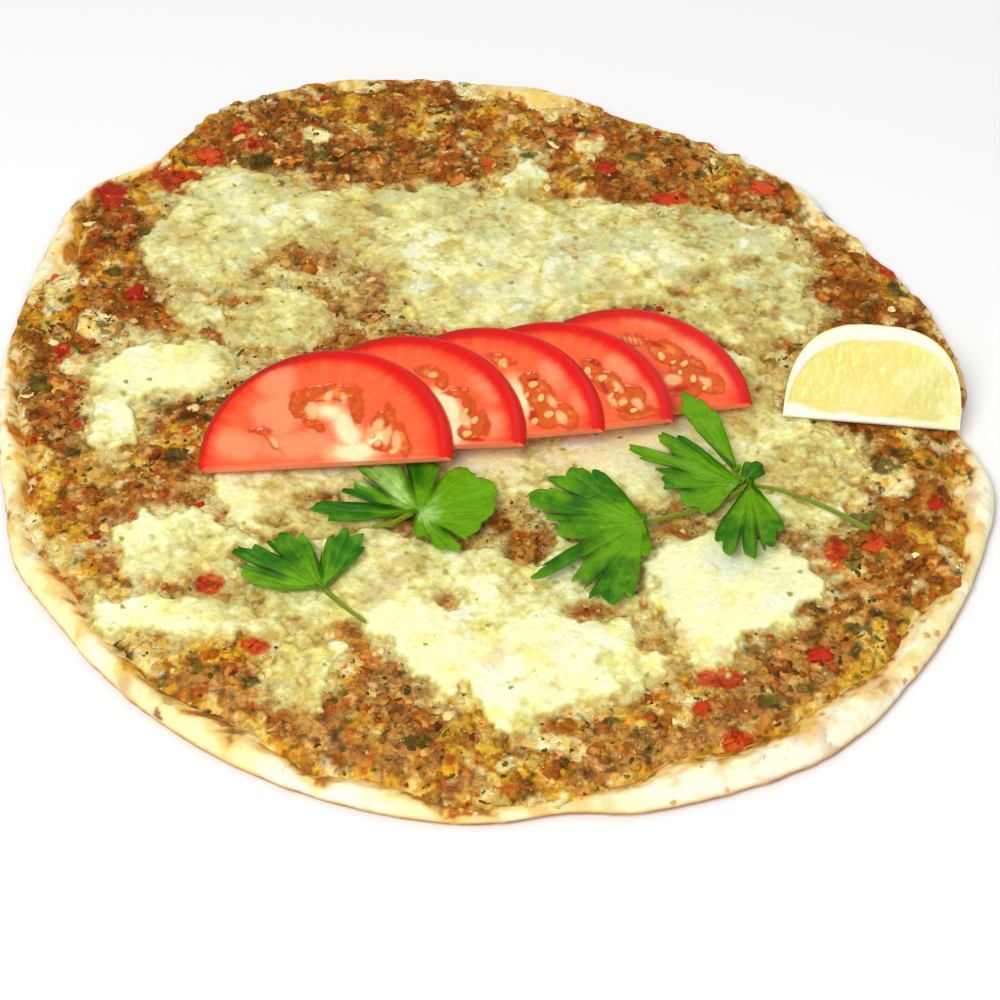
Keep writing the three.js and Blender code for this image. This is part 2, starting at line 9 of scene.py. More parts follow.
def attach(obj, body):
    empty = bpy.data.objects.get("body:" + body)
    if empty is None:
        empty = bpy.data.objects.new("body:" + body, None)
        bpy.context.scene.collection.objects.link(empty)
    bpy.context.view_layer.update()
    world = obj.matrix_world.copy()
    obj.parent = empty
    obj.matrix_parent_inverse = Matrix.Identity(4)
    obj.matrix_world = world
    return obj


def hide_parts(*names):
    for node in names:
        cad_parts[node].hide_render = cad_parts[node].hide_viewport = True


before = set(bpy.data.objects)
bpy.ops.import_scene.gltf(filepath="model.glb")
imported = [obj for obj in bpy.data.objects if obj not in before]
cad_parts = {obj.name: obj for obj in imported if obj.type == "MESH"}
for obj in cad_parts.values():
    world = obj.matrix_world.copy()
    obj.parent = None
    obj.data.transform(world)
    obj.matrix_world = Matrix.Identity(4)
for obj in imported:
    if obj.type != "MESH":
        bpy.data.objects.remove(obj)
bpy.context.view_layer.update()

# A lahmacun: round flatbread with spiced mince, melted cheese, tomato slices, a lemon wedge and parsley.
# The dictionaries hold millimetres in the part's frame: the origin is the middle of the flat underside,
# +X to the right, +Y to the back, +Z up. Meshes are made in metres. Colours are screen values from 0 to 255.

mm = 0.001


def addObject(name, data):
    made = bpy.data.objects.new(name, data)
    bpy.context.scene.collection.objects.link(made)
    return made


print("frame loaded with", len(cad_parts), "nodes")


# Numbers and noise

def smoothStep(x, low, high):
    t = np.clip((x - low) / (high - low), 0.0, 1.0)
    return t * t * (3.0 - 2.0 * t)


hashing = {"across": 374761393, "along": 668265263, "seed": 974634777, "stir": 1274126177, "mask": 0xFFFFFFFF}


# A fixed random value from 0 to 1 for each whole-numbered place
def latticeValue(i, j, seed):
    n = i.astype(np.int64) * hashing["across"] + j.astype(np.int64) * hashing["along"]
    n = (n + seed * hashing["seed"]) & hashing["mask"]
    n = ((n ^ (n >> 13)) * hashing["stir"]) & hashing["mask"]
    return ((n ^ (n >> 16)) & 0xFFFF) / 65535.0


# Uneven ground between about -1 and 1, its hills about the given length apart
def noise(x, y, length, seed, octaves=3):
    total = np.zeros(np.shape(x))
    weights = 0.0
    for k in range(octaves):
        turn = 0.65 + 1.1 * k
        u = (x * math.cos(turn) + y * math.sin(turn)) / length * 2 ** k
        v = (y * math.cos(turn) - x * math.sin(turn)) / length * 2 ** k
        i, j = np.floor(u), np.floor(v)
        a, b = smoothStep(u - i, 0, 1), smoothStep(v - j, 0, 1)
        low = latticeValue(i, j, seed + k) * (1 - a) + latticeValue(i + 1, j, seed + k) * a
        high = latticeValue(i, j + 1, seed + k) * (1 - a) + latticeValue(i + 1, j + 1, seed + k) * a
        total += 0.5 ** k * (low * (1 - b) + high * b)
        weights += 0.5 ** k
    return np.clip((total / weights - 0.5) * 2.9, -1.2, 1.2)


# Lumps about the given size: height of each (1 in its middle), distance from its gap, and its own value
def lumps(x, y, size, seed):
    u, v = x / size, y / size
    i, j = np.floor(u), np.floor(v)
    nearest = np.full(np.shape(x), 9.0)
    second = np.full(np.shape(x), 9.0)
    own = np.zeros(np.shape(x))
    for di in (-1, 0, 1):
        for dj in (-1, 0, 1):
            a, b = i + di, j + dj
            away = np.hypot(a + latticeValue(a, b, seed) - u, b + latticeValue(a, b, seed + 1) - v)
            closer = away < nearest
            second = np.where(closer, nearest, np.minimum(second, away))
            own = np.where(closer, latticeValue(a, b, seed + 2), own)
            nearest = np.where(closer, away, nearest)
    return np.clip(1 - nearest, 0, 1), second - nearest, own


# The part's own slow ripple, between -1 and 1
def ripple(x, y, length):
    s = 2 * math.pi / length
    broad = np.sin(s * (x + 0.35 * y) + 1.3) + np.sin(s * (0.8 * y - 0.55 * x) + 4.1)
    return (broad + 0.7 * np.sin(1.7 * s * (0.62 * x + 0.78 * y) + 2.2)) / 2.7


def compass(x, y):
    return np.degrees(np.arctan2(y, x))


# Hills round directions of the compass, each with its direction, height and half width
def hillsAt(angle, hills):
    total = np.zeros(np.shape(angle))
    for direction, height, halfWidth in hills:
        away = (angle - direction + 180) % 360 - 180
        total = total + height * np.exp(-((away / halfWidth) ** 2))
    return total


# A smooth curve through rows of numbers
def curveThrough(rows, steps):
    rows = np.array(rows, float)
    padded = np.concatenate([[2 * rows[0] - rows[1]], rows, [2 * rows[-1] - rows[-2]]])
    curve = []
    for k in range(len(rows) - 1):
        p, q, r, s = padded[k:k + 4]
        for t in np.arange(steps) / steps:
            curve.append(0.5 * (2 * q + (r - p) * t + (2 * p - 5 * q + 4 * r - s) * t ** 2
                                + (3 * q - p - 3 * r + s) * t ** 3))
    return np.array(curve + [rows[-1]])


# Soft-edged spots: 1 inside, 0 outside, for a list of x, y, half width, half depth
def spotsAt(x, y, spots, soft=0.35):
    most = np.zeros(np.shape(x))
    for cx, cy, halfWidth, halfDepth in spots:
        away = np.hypot((x - cx) / halfWidth, (y - cy) / halfDepth)
        most = np.maximum(most, smoothStep(1 + soft - away, 0, 2 * soft))
    return most


# x and y turned by an angle in radians
def turned(x, y, angle):
    return x * math.cos(angle) - y * math.sin(angle), x * math.sin(angle) + y * math.cos(angle)


# Every pair of a first and a second value, as two long lists
def pairsOf(first, second):
    return [grid.ravel() for grid in np.meshgrid(first, second, indexing="ij")]


# Colours

def linear(*screen):
    c = np.array(screen, float) / 255
    return np.where(c <= 0.04045, c / 12.92, ((c + 0.055) / 1.055) ** 2.4)


# A colour or a table of colours laid over another where the mask is 1. A tuple is a screen colour.
def over(base, colour, mask):
    colour = linear(*colour) if isinstance(colour, tuple) else colour
    return base + (colour - base) * np.asarray(mask)[..., None]


# The same for a row of colours, each with its mask
def layered(base, *layers):
    for colour, mask in layers:
        base = over(base, colour, mask)
    return base


# One screen colour for each value of a table
def plain(colour, like):
    return np.ones(np.shape(like) + (1,)) * linear(*colour)


# Colours along a row of stops for values from 0 to 1
def ramp(values, stops):
    table = np.array([linear(*stop) for stop in stops])
    along = np.linspace(0, 1, len(stops))
    return np.stack([np.interp(values, along, table[:, k]) for k in range(3)], -1)


# Small soft-edged patches of the given colours, of two sizes
def patchwork(x, y, colours, seed, sizes=(5.2, 2.5)):
    table = np.array([linear(*colour) for colour in colours])
    u, v = x + 1.1 * noise(x, y, 4.0, seed + 40), y + 1.1 * noise(x, y, 4.0, seed + 41)
    layers = []
    for k, size in enumerate(sizes):
        _, _, own = lumps(u, v, size, seed + 3 * k)
        layers.append(table[np.minimum((own * len(table)).astype(int), len(table) - 1)])
    share = smoothStep(noise(x, y, 3.2, seed + 42), -0.35, 0.35)[..., None]
    return layers[0] + (layers[1] - layers[0]) * share


# Mesh making

# faces is a list of index tables, each with the same number of corners in every row
def meshPiece(name, points, faces, material, paint=None, marks=None):
    mesh = bpy.data.meshes.new(name)
    corners = np.concatenate([np.asarray(table, np.int32).ravel() for table in faces])
    sizes = np.concatenate([np.full(len(table), np.shape(table)[1]) for table in faces])
    mesh.vertices.add(len(points))
    mesh.vertices.foreach_set("co", (np.asarray(points) * mm).astype(np.float32).ravel())
    mesh.loops.add(len(corners))
    mesh.loops.foreach_set("vertex_index", corners)
    mesh.polygons.add(len(sizes))
    mesh.polygons.foreach_set("loop_start", np.concatenate([[0], np.cumsum(sizes)[:-1]]).astype(np.int32))
    mesh.update(calc_edges=True)
    mesh.validate()
    mesh.shade_smooth()
    if paint is not None:
        rgba = np.ones((len(points), 4), np.float32)
        rgba[:, :3] = np.clip(paint, 0, 1)
        layer = mesh.color_attributes.new(name="paint", type="FLOAT_COLOR", domain="POINT")
        layer.data.foreach_set("color", rgba.ravel())
    for key, values in (marks or {}).items():
        layer = mesh.attributes.new(key, "FLOAT", "POINT")
        layer.data.foreach_set("value", np.asarray(values, np.float32))
    mesh.materials.append(material)
    return addObject(name, mesh)


def settle(piece, slotName, *nodes):
    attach(piece, "root")
    if nodes:
        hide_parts(*nodes)
    print("  ", piece.name, len(piece.data.polygons), "faces")
    return piece


# Quads between the columns of a table of points, rows closed into a ring, facing away from the ring's inside
def ringQuads(rows, columns):
    k, c = pairsOf(range(rows), range(columns - 1))
    near, far = k * columns + c, (k + 1) % rows * columns + c
    return np.stack([near, far, far + 1, near + 1], 1)


# Faces of a tube of rings. The points of its first and last end follow the points of the rings.
def tubeFaces(rings, around):
    ring, k = pairsOf(range(rings - 1), range(around))
    near, far = ring * around + k, ring * around + (k + 1) % around
    quads = np.stack([near, far, far + around, near + around], 1)
    k = np.arange(around)
    after, last = (k + 1) % around, (rings - 1) * around
    end = np.full(around, rings * around)
    fans = np.concatenate([np.stack([end, after, k], 1), np.stack([end + 1, last + k, last + after], 1)])
    return [quads, fans]


# Several parts as one, each with its points, its face tables and its paint
def joined(parts):
    starts = np.cumsum([0] + [len(points) for points, _, _ in parts])
    faces = [np.concatenate([part[1][k] + start for part, start in zip(parts, starts)])
             for k in range(len(parts[0][1]))]
    return np.concatenate([part[0] for part in parts]), faces, np.concatenate([part[2] for part in parts])


def moved(points, matrix):
    return points @ matrix[:3, :3].T + matrix[:3, 3]


# The part of a triangle grid where field(x, y) is over zero, cut along its edge
def cutGrid(field, box, cell, fewest=12):
    xs = np.arange(box[0], box[1] + cell, cell)
    ys = np.arange(box[2], box[3] + cell, cell)
    x, y = pairsOf(xs, ys)
    inside = field(x, y)
    rows = len(ys)
    i, j = pairsOf(range(len(xs) - 1), range(rows - 1))
    a = i * rows + j
    b, c, d = a + rows, a + rows + 1, a + 1
    even = ((i + j) % 2 == 0)[:, None]
    halves = [np.where(even, np.stack([a, b, c], 1), np.stack([a, b, d], 1)),
              np.where(even, np.stack([a, c, d], 1), np.stack([b, c, d], 1))]
    triangles = np.concatenate(halves)
    kept = inside[triangles] > 0
    count = kept.sum(1)

    def oddFirst(which, value):
        part, flags = triangles[which], kept[which]
        at = np.argmax(flags == value, axis=1)
        return [part[np.arange(len(part)), (at + k) % 3] for k in range(3)]

    one, two = oddFirst(count == 1, True), oddFirst(count == 2, False)
    pairs = [(one[0], one[1]), (one[0], one[2]), (two[0], two[1]), (two[0], two[2])]
    low = np.concatenate([np.minimum(p, q) for p, q in pairs])
    high = np.concatenate([np.maximum(p, q) for p, q in pairs])
    keys, index = np.unique(low * len(x) + high, return_inverse=True)
    splits = np.split(index + len(x), np.cumsum([len(p) for p, _ in pairs])[:-1])
    start, end = keys // len(x), keys % len(x)
    share = np.clip(inside[start] / (inside[start] - inside[end]), 0.12, 0.88)
    x = np.concatenate([x, x[start] + share * (x[end] - x[start])])
    y = np.concatenate([y, y[start] + share * (y[end] - y[start])])
    faces = np.concatenate([
        triangles[count == 3],
        np.stack([one[0], splits[0], splits[1]], 1),
        np.stack([two[1], two[2], splits[3]], 1),
        np.stack([two[1], splits[3], splits[2]], 1)])
    used, faces = np.unique(faces, return_inverse=True)
    x, y, faces = x[used], y[used], faces.reshape(-1, 3)

    label = np.arange(len(x))                       # scraps with few triangles are dropped
    while True:
        least = label[faces].min(1)
        before = label.copy()
        for k in range(3):
            np.minimum.at(label, faces[:, k], least)
        label = label[label]
        if np.array_equal(label, before):
            break
    sizes = np.bincount(label[faces[:, 0]], minlength=len(x))
    faces = faces[sizes[label[faces[:, 0]]] >= fewest]
    used, faces = np.unique(faces, return_inverse=True)
    return x[used], y[used], faces.reshape(-1, 3)


# Edges that only one triangle has, in its direction
def openEdges(faces):
    edges = np.concatenate([faces[:, [0, 1]], faces[:, [1, 2]], faces[:, [2, 0]]])
    span = faces.max() + 1
    alone = ~np.isin(edges[:, 0] * span + edges[:, 1], edges[:, 1] * span + edges[:, 0])
    return edges[alone]


# Closes a sheet of triangles into a body with the given lower heights
def closedBody(x, y, top, bottom, faces):
    count = len(x)
    points = np.concatenate([np.stack([x, y, top], 1), np.stack([x, y, bottom], 1)])
    edges = openEdges(faces)
    walls = np.stack([edges[:, 0] + count, edges[:, 1] + count, edges[:, 1], edges[:, 0]], 1)
    return points, [faces, faces[:, ::-1] + count, walls]


# Shader building

# Adds a node; each input is given by name or number and is a plain value or another node's output
def place(tree, kind, inputs=None, **settings):
    node = tree.nodes.new(kind)
    for key, value in settings.items():
        setattr(node, key, value)
    for key, value in (inputs or {}).items():
        if isinstance(value, bpy.types.NodeSocket):
            tree.links.new(value, node.inputs[key])
        else:
            node.inputs[key].default_value = value
    return node


def mathNode(tree, operation, first, second=0.5, third=None):
    inputs = {0: first, 1: second}
    if third is not None:
        inputs[2] = third
    return place(tree, "ShaderNodeMath", inputs, operation=operation).outputs[0]


def vectorNode(tree, operation, inputs):
    return place(tree, "ShaderNodeVectorMath", inputs, operation=operation).outputs[0]


def objectPlace(tree):
    return place(tree, "ShaderNodeTexCoord").outputs["Object"]


def noiseNode(tree, scale, **inputs):
    return place(tree, "ShaderNodeTexNoise", {"Vector": objectPlace(tree), "Scale": scale, **inputs}).outputs


def mixColours(tree, factor, first, second, way="MIX"):
    mix = place(tree, "ShaderNodeMix", {0: factor, 6: first, 7: second}, data_type="RGBA", blend_type=way)
    return mix.outputs[2]


def fade(tree, value, low, high, toLow=0.0, toHigh=1.0):
    inputs = {"Value": value, "From Min": low, "From Max": high, "To Min": toLow, "To Max": toHigh}
    return place(tree, "ShaderNodeMapRange", inputs, interpolation_type="SMOOTHSTEP").outputs[0]


def rgba(*screen):
    return (*linear(*screen), 1.0)


def newGroup(name, inputs, outputs):
    group = bpy.data.node_groups.new(name, "ShaderNodeTree")
    for label, kind, value in inputs:
        socket = group.interface.new_socket(label, in_out="INPUT", socket_type="NodeSocket" + kind)
        socket.default_value = value
    for label, kind in outputs:
        group.interface.new_socket(label, in_out="OUTPUT", socket_type="NodeSocket" + kind)
    return group, place(group, "NodeGroupInput").outputs, place(group, "NodeGroupOutput")


# Fine uneven tone of anything baked, cut or grown, with a height for bump
def buildFineGrain():
    group, given, result = newGroup(
        "fineGrain",
        [("Colour", "Color", (0.8, 0.8, 0.8, 1)), ("Scale", "Float", 900.0), ("Tone", "Float", 0.2),
         ("Warmth", "Float", 0.1)],
        [("Colour", "Color"), ("Height", "Float")])
    fine = noiseNode(group, given["Scale"], Detail=5.0, Roughness=0.62)["Fac"]
    slow = noiseNode(group, mathNode(group, "MULTIPLY", given["Scale"], 0.23), Detail=3.0)["Fac"]
    swing = mathNode(group, "SUBTRACT", mathNode(group, "MULTIPLY_ADD", fine, 1.5, slow), 1.25)
    bright = mathNode(group, "MULTIPLY_ADD", swing, mathNode(group, "MULTIPLY", given["Tone"], 1.7), 1.0)
    toned = vectorNode(group, "SCALE", {0: given["Colour"], "Scale": bright})
    warmer = vectorNode(group, "MULTIPLY", {0: toned, 1: (1.06, 0.98, 0.72)})
    warmMask = mathNode(group, "MULTIPLY", given["Warmth"], fade(group, slow, 0.4, 0.65))
    group.links.new(mixColours(group, warmMask, toned, warmer), result.inputs["Colour"])
    group.links.new(fine, result.inputs["Height"])
    return group


# Small separate specks of another colour
def buildSpecks():
    group, given, result = newGroup(
        "specks",
        [("Colour", "Color", (0.8, 0.8, 0.8, 1)), ("Speck", "Color", (0.2, 0.1, 0.02, 1)),
         ("Scale", "Float", 400.0), ("Share", "Float", 0.2), ("Size", "Float", 0.32)],
        [("Colour", "Color"), ("Mask", "Float")])
    bend = noiseNode(group, mathNode(group, "MULTIPLY", given["Scale"], 2.2), Detail=2.0)["Color"]
    shift = vectorNode(group, "SCALE", {0: bend, "Scale": 0.0022})
    bent = vectorNode(group, "ADD", {0: objectPlace(group), 1: shift})
    cells = place(group, "ShaderNodeTexVoronoi", {"Vector": bent, "Scale": given["Scale"]})
    own = place(group, "ShaderNodeSeparateColor", {"Color": cells.outputs["Color"]}).outputs[0]
    chosen = mathNode(group, "LESS_THAN", own, given["Share"])
    size = mathNode(group, "MULTIPLY", given["Size"], fade(group, own, 0.0, 0.3, 1.2, 0.5))
    dot = fade(group, cells.outputs["Distance"], size, mathNode(group, "MULTIPLY", size, 0.4))
    mask = mathNode(group, "MULTIPLY", chosen, dot)
    group.links.new(mixColours(group, mask, given["Colour"], given["Speck"]), result.inputs["Colour"])
    group.links.new(mask, result.inputs["Mask"])
    return group


# Moist and dry places, as a roughness between two values
def buildMoisture():
    group, given, result = newGroup(
        "moisture",
        [("Scale", "Float", 200.0), ("Wet", "Float", 0.2), ("Dry", "Float", 0.6)],
        [("Roughness", "Float")])
    moist = noiseNode(group, given["Scale"], Detail=3.0)["Fac"]
    group.links.new(fade(group, moist, 0.35, 0.65, given["Wet"], given["Dry"]), result.inputs["Roughness"])
    return group


shared = {"grain": buildFineGrain(), "specks": buildSpecks(), "moisture": buildMoisture()}


def useGroup(tree, key, inputs):
    return place(tree, "ShaderNodeGroup", inputs, node_tree=shared[key]).outputs


# A material's tree with its shader in place. Values go on the shader's own sockets.
def newMaterial(name, **values):
    material = bpy.data.materials.new(name)
    material.use_nodes = True
    tree = material.node_tree
    shader = tree.nodes["Principled BSDF"]
    for label, value in values.items():
        shader.inputs[label.replace("_", " ")].default_value = value
    return material, tree, shader


def readPaint(tree):
    return place(tree, "ShaderNodeAttribute", attribute_name="paint").outputs["Color"]


def readMark(tree, name):
    return place(tree, "ShaderNodeAttribute", attribute_name=name).outputs["Fac"]


def bumpInto(tree, shader, height, distance, strength=1.0):
    bump = place(tree, "ShaderNodeBump", {"Height": height, "Distance": distance * mm, "Strength": strength})
    tree.links.new(bump.outputs["Normal"], shader.inputs["Normal"])


# What the materials share. Grain is its scale, tone, warmth and bump; a speck its colour, scale, share and
# size; moisture its scale and the roughness of wet and dry places.
def dress(tree, shader, colour, grain, specks=(), moisture=None):
    *grain, bump = grain
    toned = useGroup(tree, "grain", {"Colour": colour, **dict(zip(("Scale", "Tone", "Warmth"), grain))})
    colour = toned["Colour"]
    for speck, *values in specks:
        inputs = {"Colour": colour, "Speck": rgba(*speck), **dict(zip(("Scale", "Share", "Size"), values))}
        colour = useGroup(tree, "specks", inputs)["Colour"]
    tree.links.new(colour, shader.inputs["Base Color"])
    if moisture:
        rough = useGroup(tree, "moisture", dict(zip(("Scale", "Wet", "Dry"), moisture)))
        tree.links.new(rough["Roughness"], shader.inputs["Roughness"])
    bumpInto(tree, shader, toned["Height"], bump)


def doughMaterial():
    material, tree, shader = newMaterial(
        "bakedDough", IOR=1.35, Subsurface_Weight=0.1, Subsurface_Scale=0.0015,
        Subsurface_Radius=(1.0, 0.7, 0.4))
    dress(tree, shader, readPaint(tree), (620.0, 0.12, 0.4, 0.4), [((216, 166, 92), 300.0, 0.07, 0.4)],
          (120.0, 0.55, 0.8))
    return material


def meatMaterial():
    material, tree, shader = newMaterial("bakedMince", IOR=1.33, Specular_IOR_Level=0.3)
    dark, light = ((96, 54, 8), 430.0, 0.2, 0.36), ((240, 198, 104), 560.0, 0.08, 0.34)
    dress(tree, shader, readPaint(tree), (760.0, 0.5, 0.5, 0.8), [dark, light], (260.0, 0.3, 0.65))
    return material


def cheeseMaterial():
    material, tree, shader = newMaterial(
        "meltedCheese", IOR=1.4, Specular_IOR_Level=0.35, Subsurface_Weight=0.2, Subsurface_Scale=0.0015,
        Subsurface_Radius=(1.0, 0.85, 0.5))
    dress(tree, shader, readPaint(tree), (560.0, 0.2, 0.5, 0.6), [((170, 158, 70), 300.0, 0.1, 0.3)],
          (180.0, 0.28, 0.5))
    return material


def tomatoMaterial():
    material, tree, shader = newMaterial(
        "cutTomato", IOR=1.38, Specular_IOR_Level=0.35, Subsurface_Weight=0.2, Subsurface_Scale=0.002,
        Subsurface_Radius=(1.0, 0.3, 0.15), Coat_Roughness=0.12)
    dress(tree, shader, readPaint(tree), (560.0, 0.14, 0.15, 0.22))
    wet = readMark(tree, "wet")
    tree.links.new(fade(tree, wet, 0.0, 1.0, 0.42, 0.16), shader.inputs["Roughness"])
    tree.links.new(mathNode(tree, "MULTIPLY", wet, 0.3), shader.inputs["Coat Weight"])
    return material


def seedMaterial():
    material, tree, shader = newMaterial("tomatoSeed", IOR=1.4, Subsurface_Weight=0.2, Subsurface_Scale=0.001)
    dress(tree, shader, readPaint(tree), (1500.0, 0.15, 0.2, 0.12), (), (500.0, 0.15, 0.35))
    return material


def lemonMaterial():
    material, tree, shader = newMaterial(
        "lemonFlesh", IOR=1.38, Subsurface_Weight=0.3, Subsurface_Scale=0.003,
        Subsurface_Radius=(1.0, 0.9, 0.35))
    dress(tree, shader, readPaint(tree), (620.0, 0.07, 0.2, 0.2))
    tree.links.new(fade(tree, readMark(tree, "wet"), 0.0, 1.0, 0.55, 0.2), shader.inputs["Roughness"])
    return material


def leafMaterial():
    material, tree, shader = newMaterial("parsleyLeaf", IOR=1.42, Specular_IOR_Level=0.22)
    dress(tree, shader, readPaint(tree), (900.0, 0.28, 0.25, 0.25), (), (300.0, 0.28, 0.5))
    return material


# Bits that are scattered: a colour between three by each bit's own tone, then grain
def bitMaterial(name, low, middle, high, wet, dry, tone=0.3):
    material, tree, shader = newMaterial(name, IOR=1.4, Specular_IOR_Level=0.25)
    own = place(tree, "ShaderNodeValToRGB", {"Fac": readMark(tree, "tone")})
    stops = own.color_ramp.elements
    stops[0].color = rgba(*low)
    stops[1].color = rgba(*high)
    stops.new(0.5).color = rgba(*middle)
    dress(tree, shader, own.outputs["Color"], (900.0, tone, 0.2, 0.3), (), (400.0, wet, dry))
    return material


# Bits of meat take the colour of the ground where they lie, lighter or darker by their own tone
def crumbMaterial():
    material, tree, shader = newMaterial("minceCrumb", IOR=1.33, Specular_IOR_Level=0.3)
    bright = fade(tree, readMark(tree, "tone"), 0.0, 1.0, 0.8, 1.14)
    toned = vectorNode(tree, "SCALE", {0: readPaint(tree), "Scale": bright})
    dress(tree, shader, toned, (820.0, 0.5, 0.4, 0.5), (), (320.0, 0.28, 0.6))
    return material


# A unit blob as points and triangles: squareness 0 is a pebble and 1 a dice
def blob(seed, detail, roughness, squareness=0.0):
    work = bmesh.new()
    bmesh.ops.create_icosphere(work, subdivisions=detail, radius=1.0)
    points = np.array([vertex.co for vertex in work.verts])
    faces = np.array([[vertex.index for vertex in face.verts] for face in work.faces])
    work.free()
    points /= np.linalg.norm(points, axis=1, keepdims=True)
    x, y, z = points.T
    push = 1 + roughness * noise(x * 1.7 + seed * 3.1, y * 1.7 + z * 2.3, 1.0, seed, 2)
    square = np.abs(points).max(1)
    return points * (push * ((1 - squareness) + squareness / square))[:, None], faces


materials = {
    "dough": doughMaterial(), "meat": meatMaterial(), "cheese": cheeseMaterial(), "tomato": tomatoMaterial(),
    "seed": seedMaterial(), "lemon": lemonMaterial(), "leaf": leafMaterial(), "crumb": crumbMaterial(),
    "herb": bitMaterial("driedHerb", (58, 50, 2), (84, 78, 8), (124, 112, 26), 0.45, 0.75),
    "pepper": bitMaterial("redPepper", (150, 22, 2), (190, 40, 6), (216, 90, 20), 0.2, 0.45),
    "onion": bitMaterial("paleOnion", (212, 156, 66), (238, 204, 118), (250, 234, 170), 0.3, 0.5, tone=0.2),
}
print("materials made:", len(materials))


# Bread: outline and rim as in the part, with a finer and livelier surface

bread = {
    "meanRadius": 150.6,
    # Waves round the edge, height, crest
    "edgeWaves": ((1, 3.2, -137), (2, 7.4, -58), (3, 2.1, -6)),
    "edgeBumps": ((18, 1.5, 9), (47, 3.5, 7), (72, -5.5, 7), (95, -1.5, 8), (118, 3, 9), (137, -5, 6),
        (147, 3.5, 7), (170, -2, 9), (195, -1.5, 9), (209, 2.5, 6), (279, -3.5, 6), (307, 3, 10),
        (346, 1.5, 5), (357, -7, 5)),
    "rimNarrow": 4.5,
    "rimWide": ((42, 7, 6), (86, 8, 5), (108, 2, 5), (140, 2, 5), (156, 6, 7), (190, 5, 12), (213, 6, 7),
        (228, 5, 8), (244, 7, 7), (260, 5, 6), (292, 9, 8), (309, 10, 10), (326, 5, 6), (346, 9, 7)),
    "rimLowest": 4.9, "rimPuff": 0.2, "rimRipple": (0.25, 11),
    # Section of the rim from the underside round to the mince: inset in millimetres and in rim widths,
    # then height in millimetres and in rim heights
    "rimSection": ((7, 0, 0, 0), (2.1, 0, 0.5, 0), (0.3, 0, 1.6, 0), (0, 0, 2.9, 0), (0.4, 0.12, -0.7, 1),
        (0, 0.45, 0, 1), (0, 0.75, 1.5, 0.5), (0, 1, 3, 0)),
    "floor": 3.0, "spokes": 880, "sectionSteps": 8, "undersideRings": 50,
    # Keeps the relief within the part's edge
    "inset": 0.62,
    "relief": 0.28, "blister": 0.5, "cream": (250, 236, 176), "white": (254, 250, 220),
    "golden": (232, 188, 104), "toasted": (182, 116, 46), "brown": (120, 62, 16), "oiled": (238, 192, 92),
    "underneath": (222, 184, 120), "scorched": (146, 94, 48),
    # Clean white stretches of the rim: direction, strength, half width
    "clean": ((-58, 1.2, 20), (180, 0.8, 12), (-104, 0.8, 8), (218, 0.5, 8), (-10, 0.6, 10), (42, 0.6, 6)),
    # Dark baked places on the rim: direction, half width in degrees
    "burnt": ((39, 2.5), (203, 2.2), (2, 2.0), (27, 2.0), (58, 2.0), (150, 1.5), (124, 2.0), (236, 1.2),
        (268, 1.2)),
}


def edgeRadius(angle):
    waves = sum(height * np.cos(np.radians(count * (angle - crest)))
                for count, height, crest in bread["edgeWaves"])
    return bread["meanRadius"] + waves + hillsAt(angle, bread["edgeBumps"])


def rimWidth(angle):
    return bread["rimNarrow"] + hillsAt(angle, bread["rimWide"])


def rimHeight(angle):
    swell, count = bread["rimRipple"]
    puffed = bread["rimPuff"] * (rimWidth(angle) - bread["rimNarrow"])
    return bread["rimLowest"] + puffed + swell * np.sin(np.radians(count * angle))


def breadPaint(x, y, angle, share, blister):
    bare = smoothStep(rimWidth(angle), 4.9, 8.0)     # wide puffed stretches stay pale and clean
    clean = hillsAt(angle, bread["clean"])
    crest = smoothStep(share, 0.36, 0.5)
    wall = smoothStep(share, 0.1, 0.16) * (1 - smoothStep(share, 0.38, 0.5))
    broad, middle, fine = noise(x, y, 13.0, 41), noise(x, y, 6.0, 42), noise(x, y, 2.2, 43)
    burnt = hillsAt(angle, [(way, 1, wide) for way, wide in bread["burnt"]])
    paint = layered(
        plain(bread["golden"], x),
        (bread["cream"], crest * smoothStep(broad + 0.5 * middle + 1.8 * bare, -0.7, 0.5)),
        (bread["white"], crest * smoothStep(broad + 0.4 * middle + 1.9 * clean, 0.3, 1.3)),
        (bread["golden"], 0.6 * crest * smoothStep(middle - 0.5 * bare, 0.3, 0.8)),
        (bread["toasted"], 0.55 * crest * (1 - 0.6 * bare) * smoothStep(fine + 0.6 * broad, 0.5, 1.0)),
        (bread["toasted"], 0.6 * crest * blister * smoothStep(noise(x, y, 22.0, 44), 0.1, 0.7)),
        (bread["toasted"], wall * (0.5 + 0.3 * smoothStep(middle, -0.5, 0.6))),
        # a thin dark line round the outermost edge: partly dark baked crust, partly painted shadow where the
        # edge meets the floor
        (bread["brown"], 0.85 * smoothStep(share, 0.2, 0.28) * (1 - smoothStep(share, 0.32, 0.42))),
        (bread["brown"], 0.85 * smoothStep(burnt * crest + 0.35 * middle + 0.3 * fine, 0.6, 1.0)))
    # Sauce and mince that ran over the inner slope, and over the crest where the rim is narrow
    topping = mincePaint(x.ravel(), y.ravel(), np.full(x.size, 1.5), np.full(x.size, -20.0))
    puff = smoothStep(noise(x, y, 15.0, 49) + 0.5 * bare, -0.3, 0.5)
    past = share - (0.5 + 0.1 * bare + 0.2 * puff + 0.1 * middle + 0.06 * fine)
    below = (share < 0.1).astype(float)
    return layered(
        paint,
        (bread["oiled"], crest * smoothStep(past, -0.12, 0.02) * 0.75),
        (topping.reshape(paint.shape), crest * smoothStep(past, -0.01, 0.1)),
        (bread["underneath"], below),
        (bread["scorched"], 0.8 * below * smoothStep(broad + 0.4 * fine, 0.15, 0.9)),
        (bread["brown"], 0.5 * below * smoothStep(noise(x, y, 30.0, 48) + 0.5 * middle, 0.4, 1.0)))


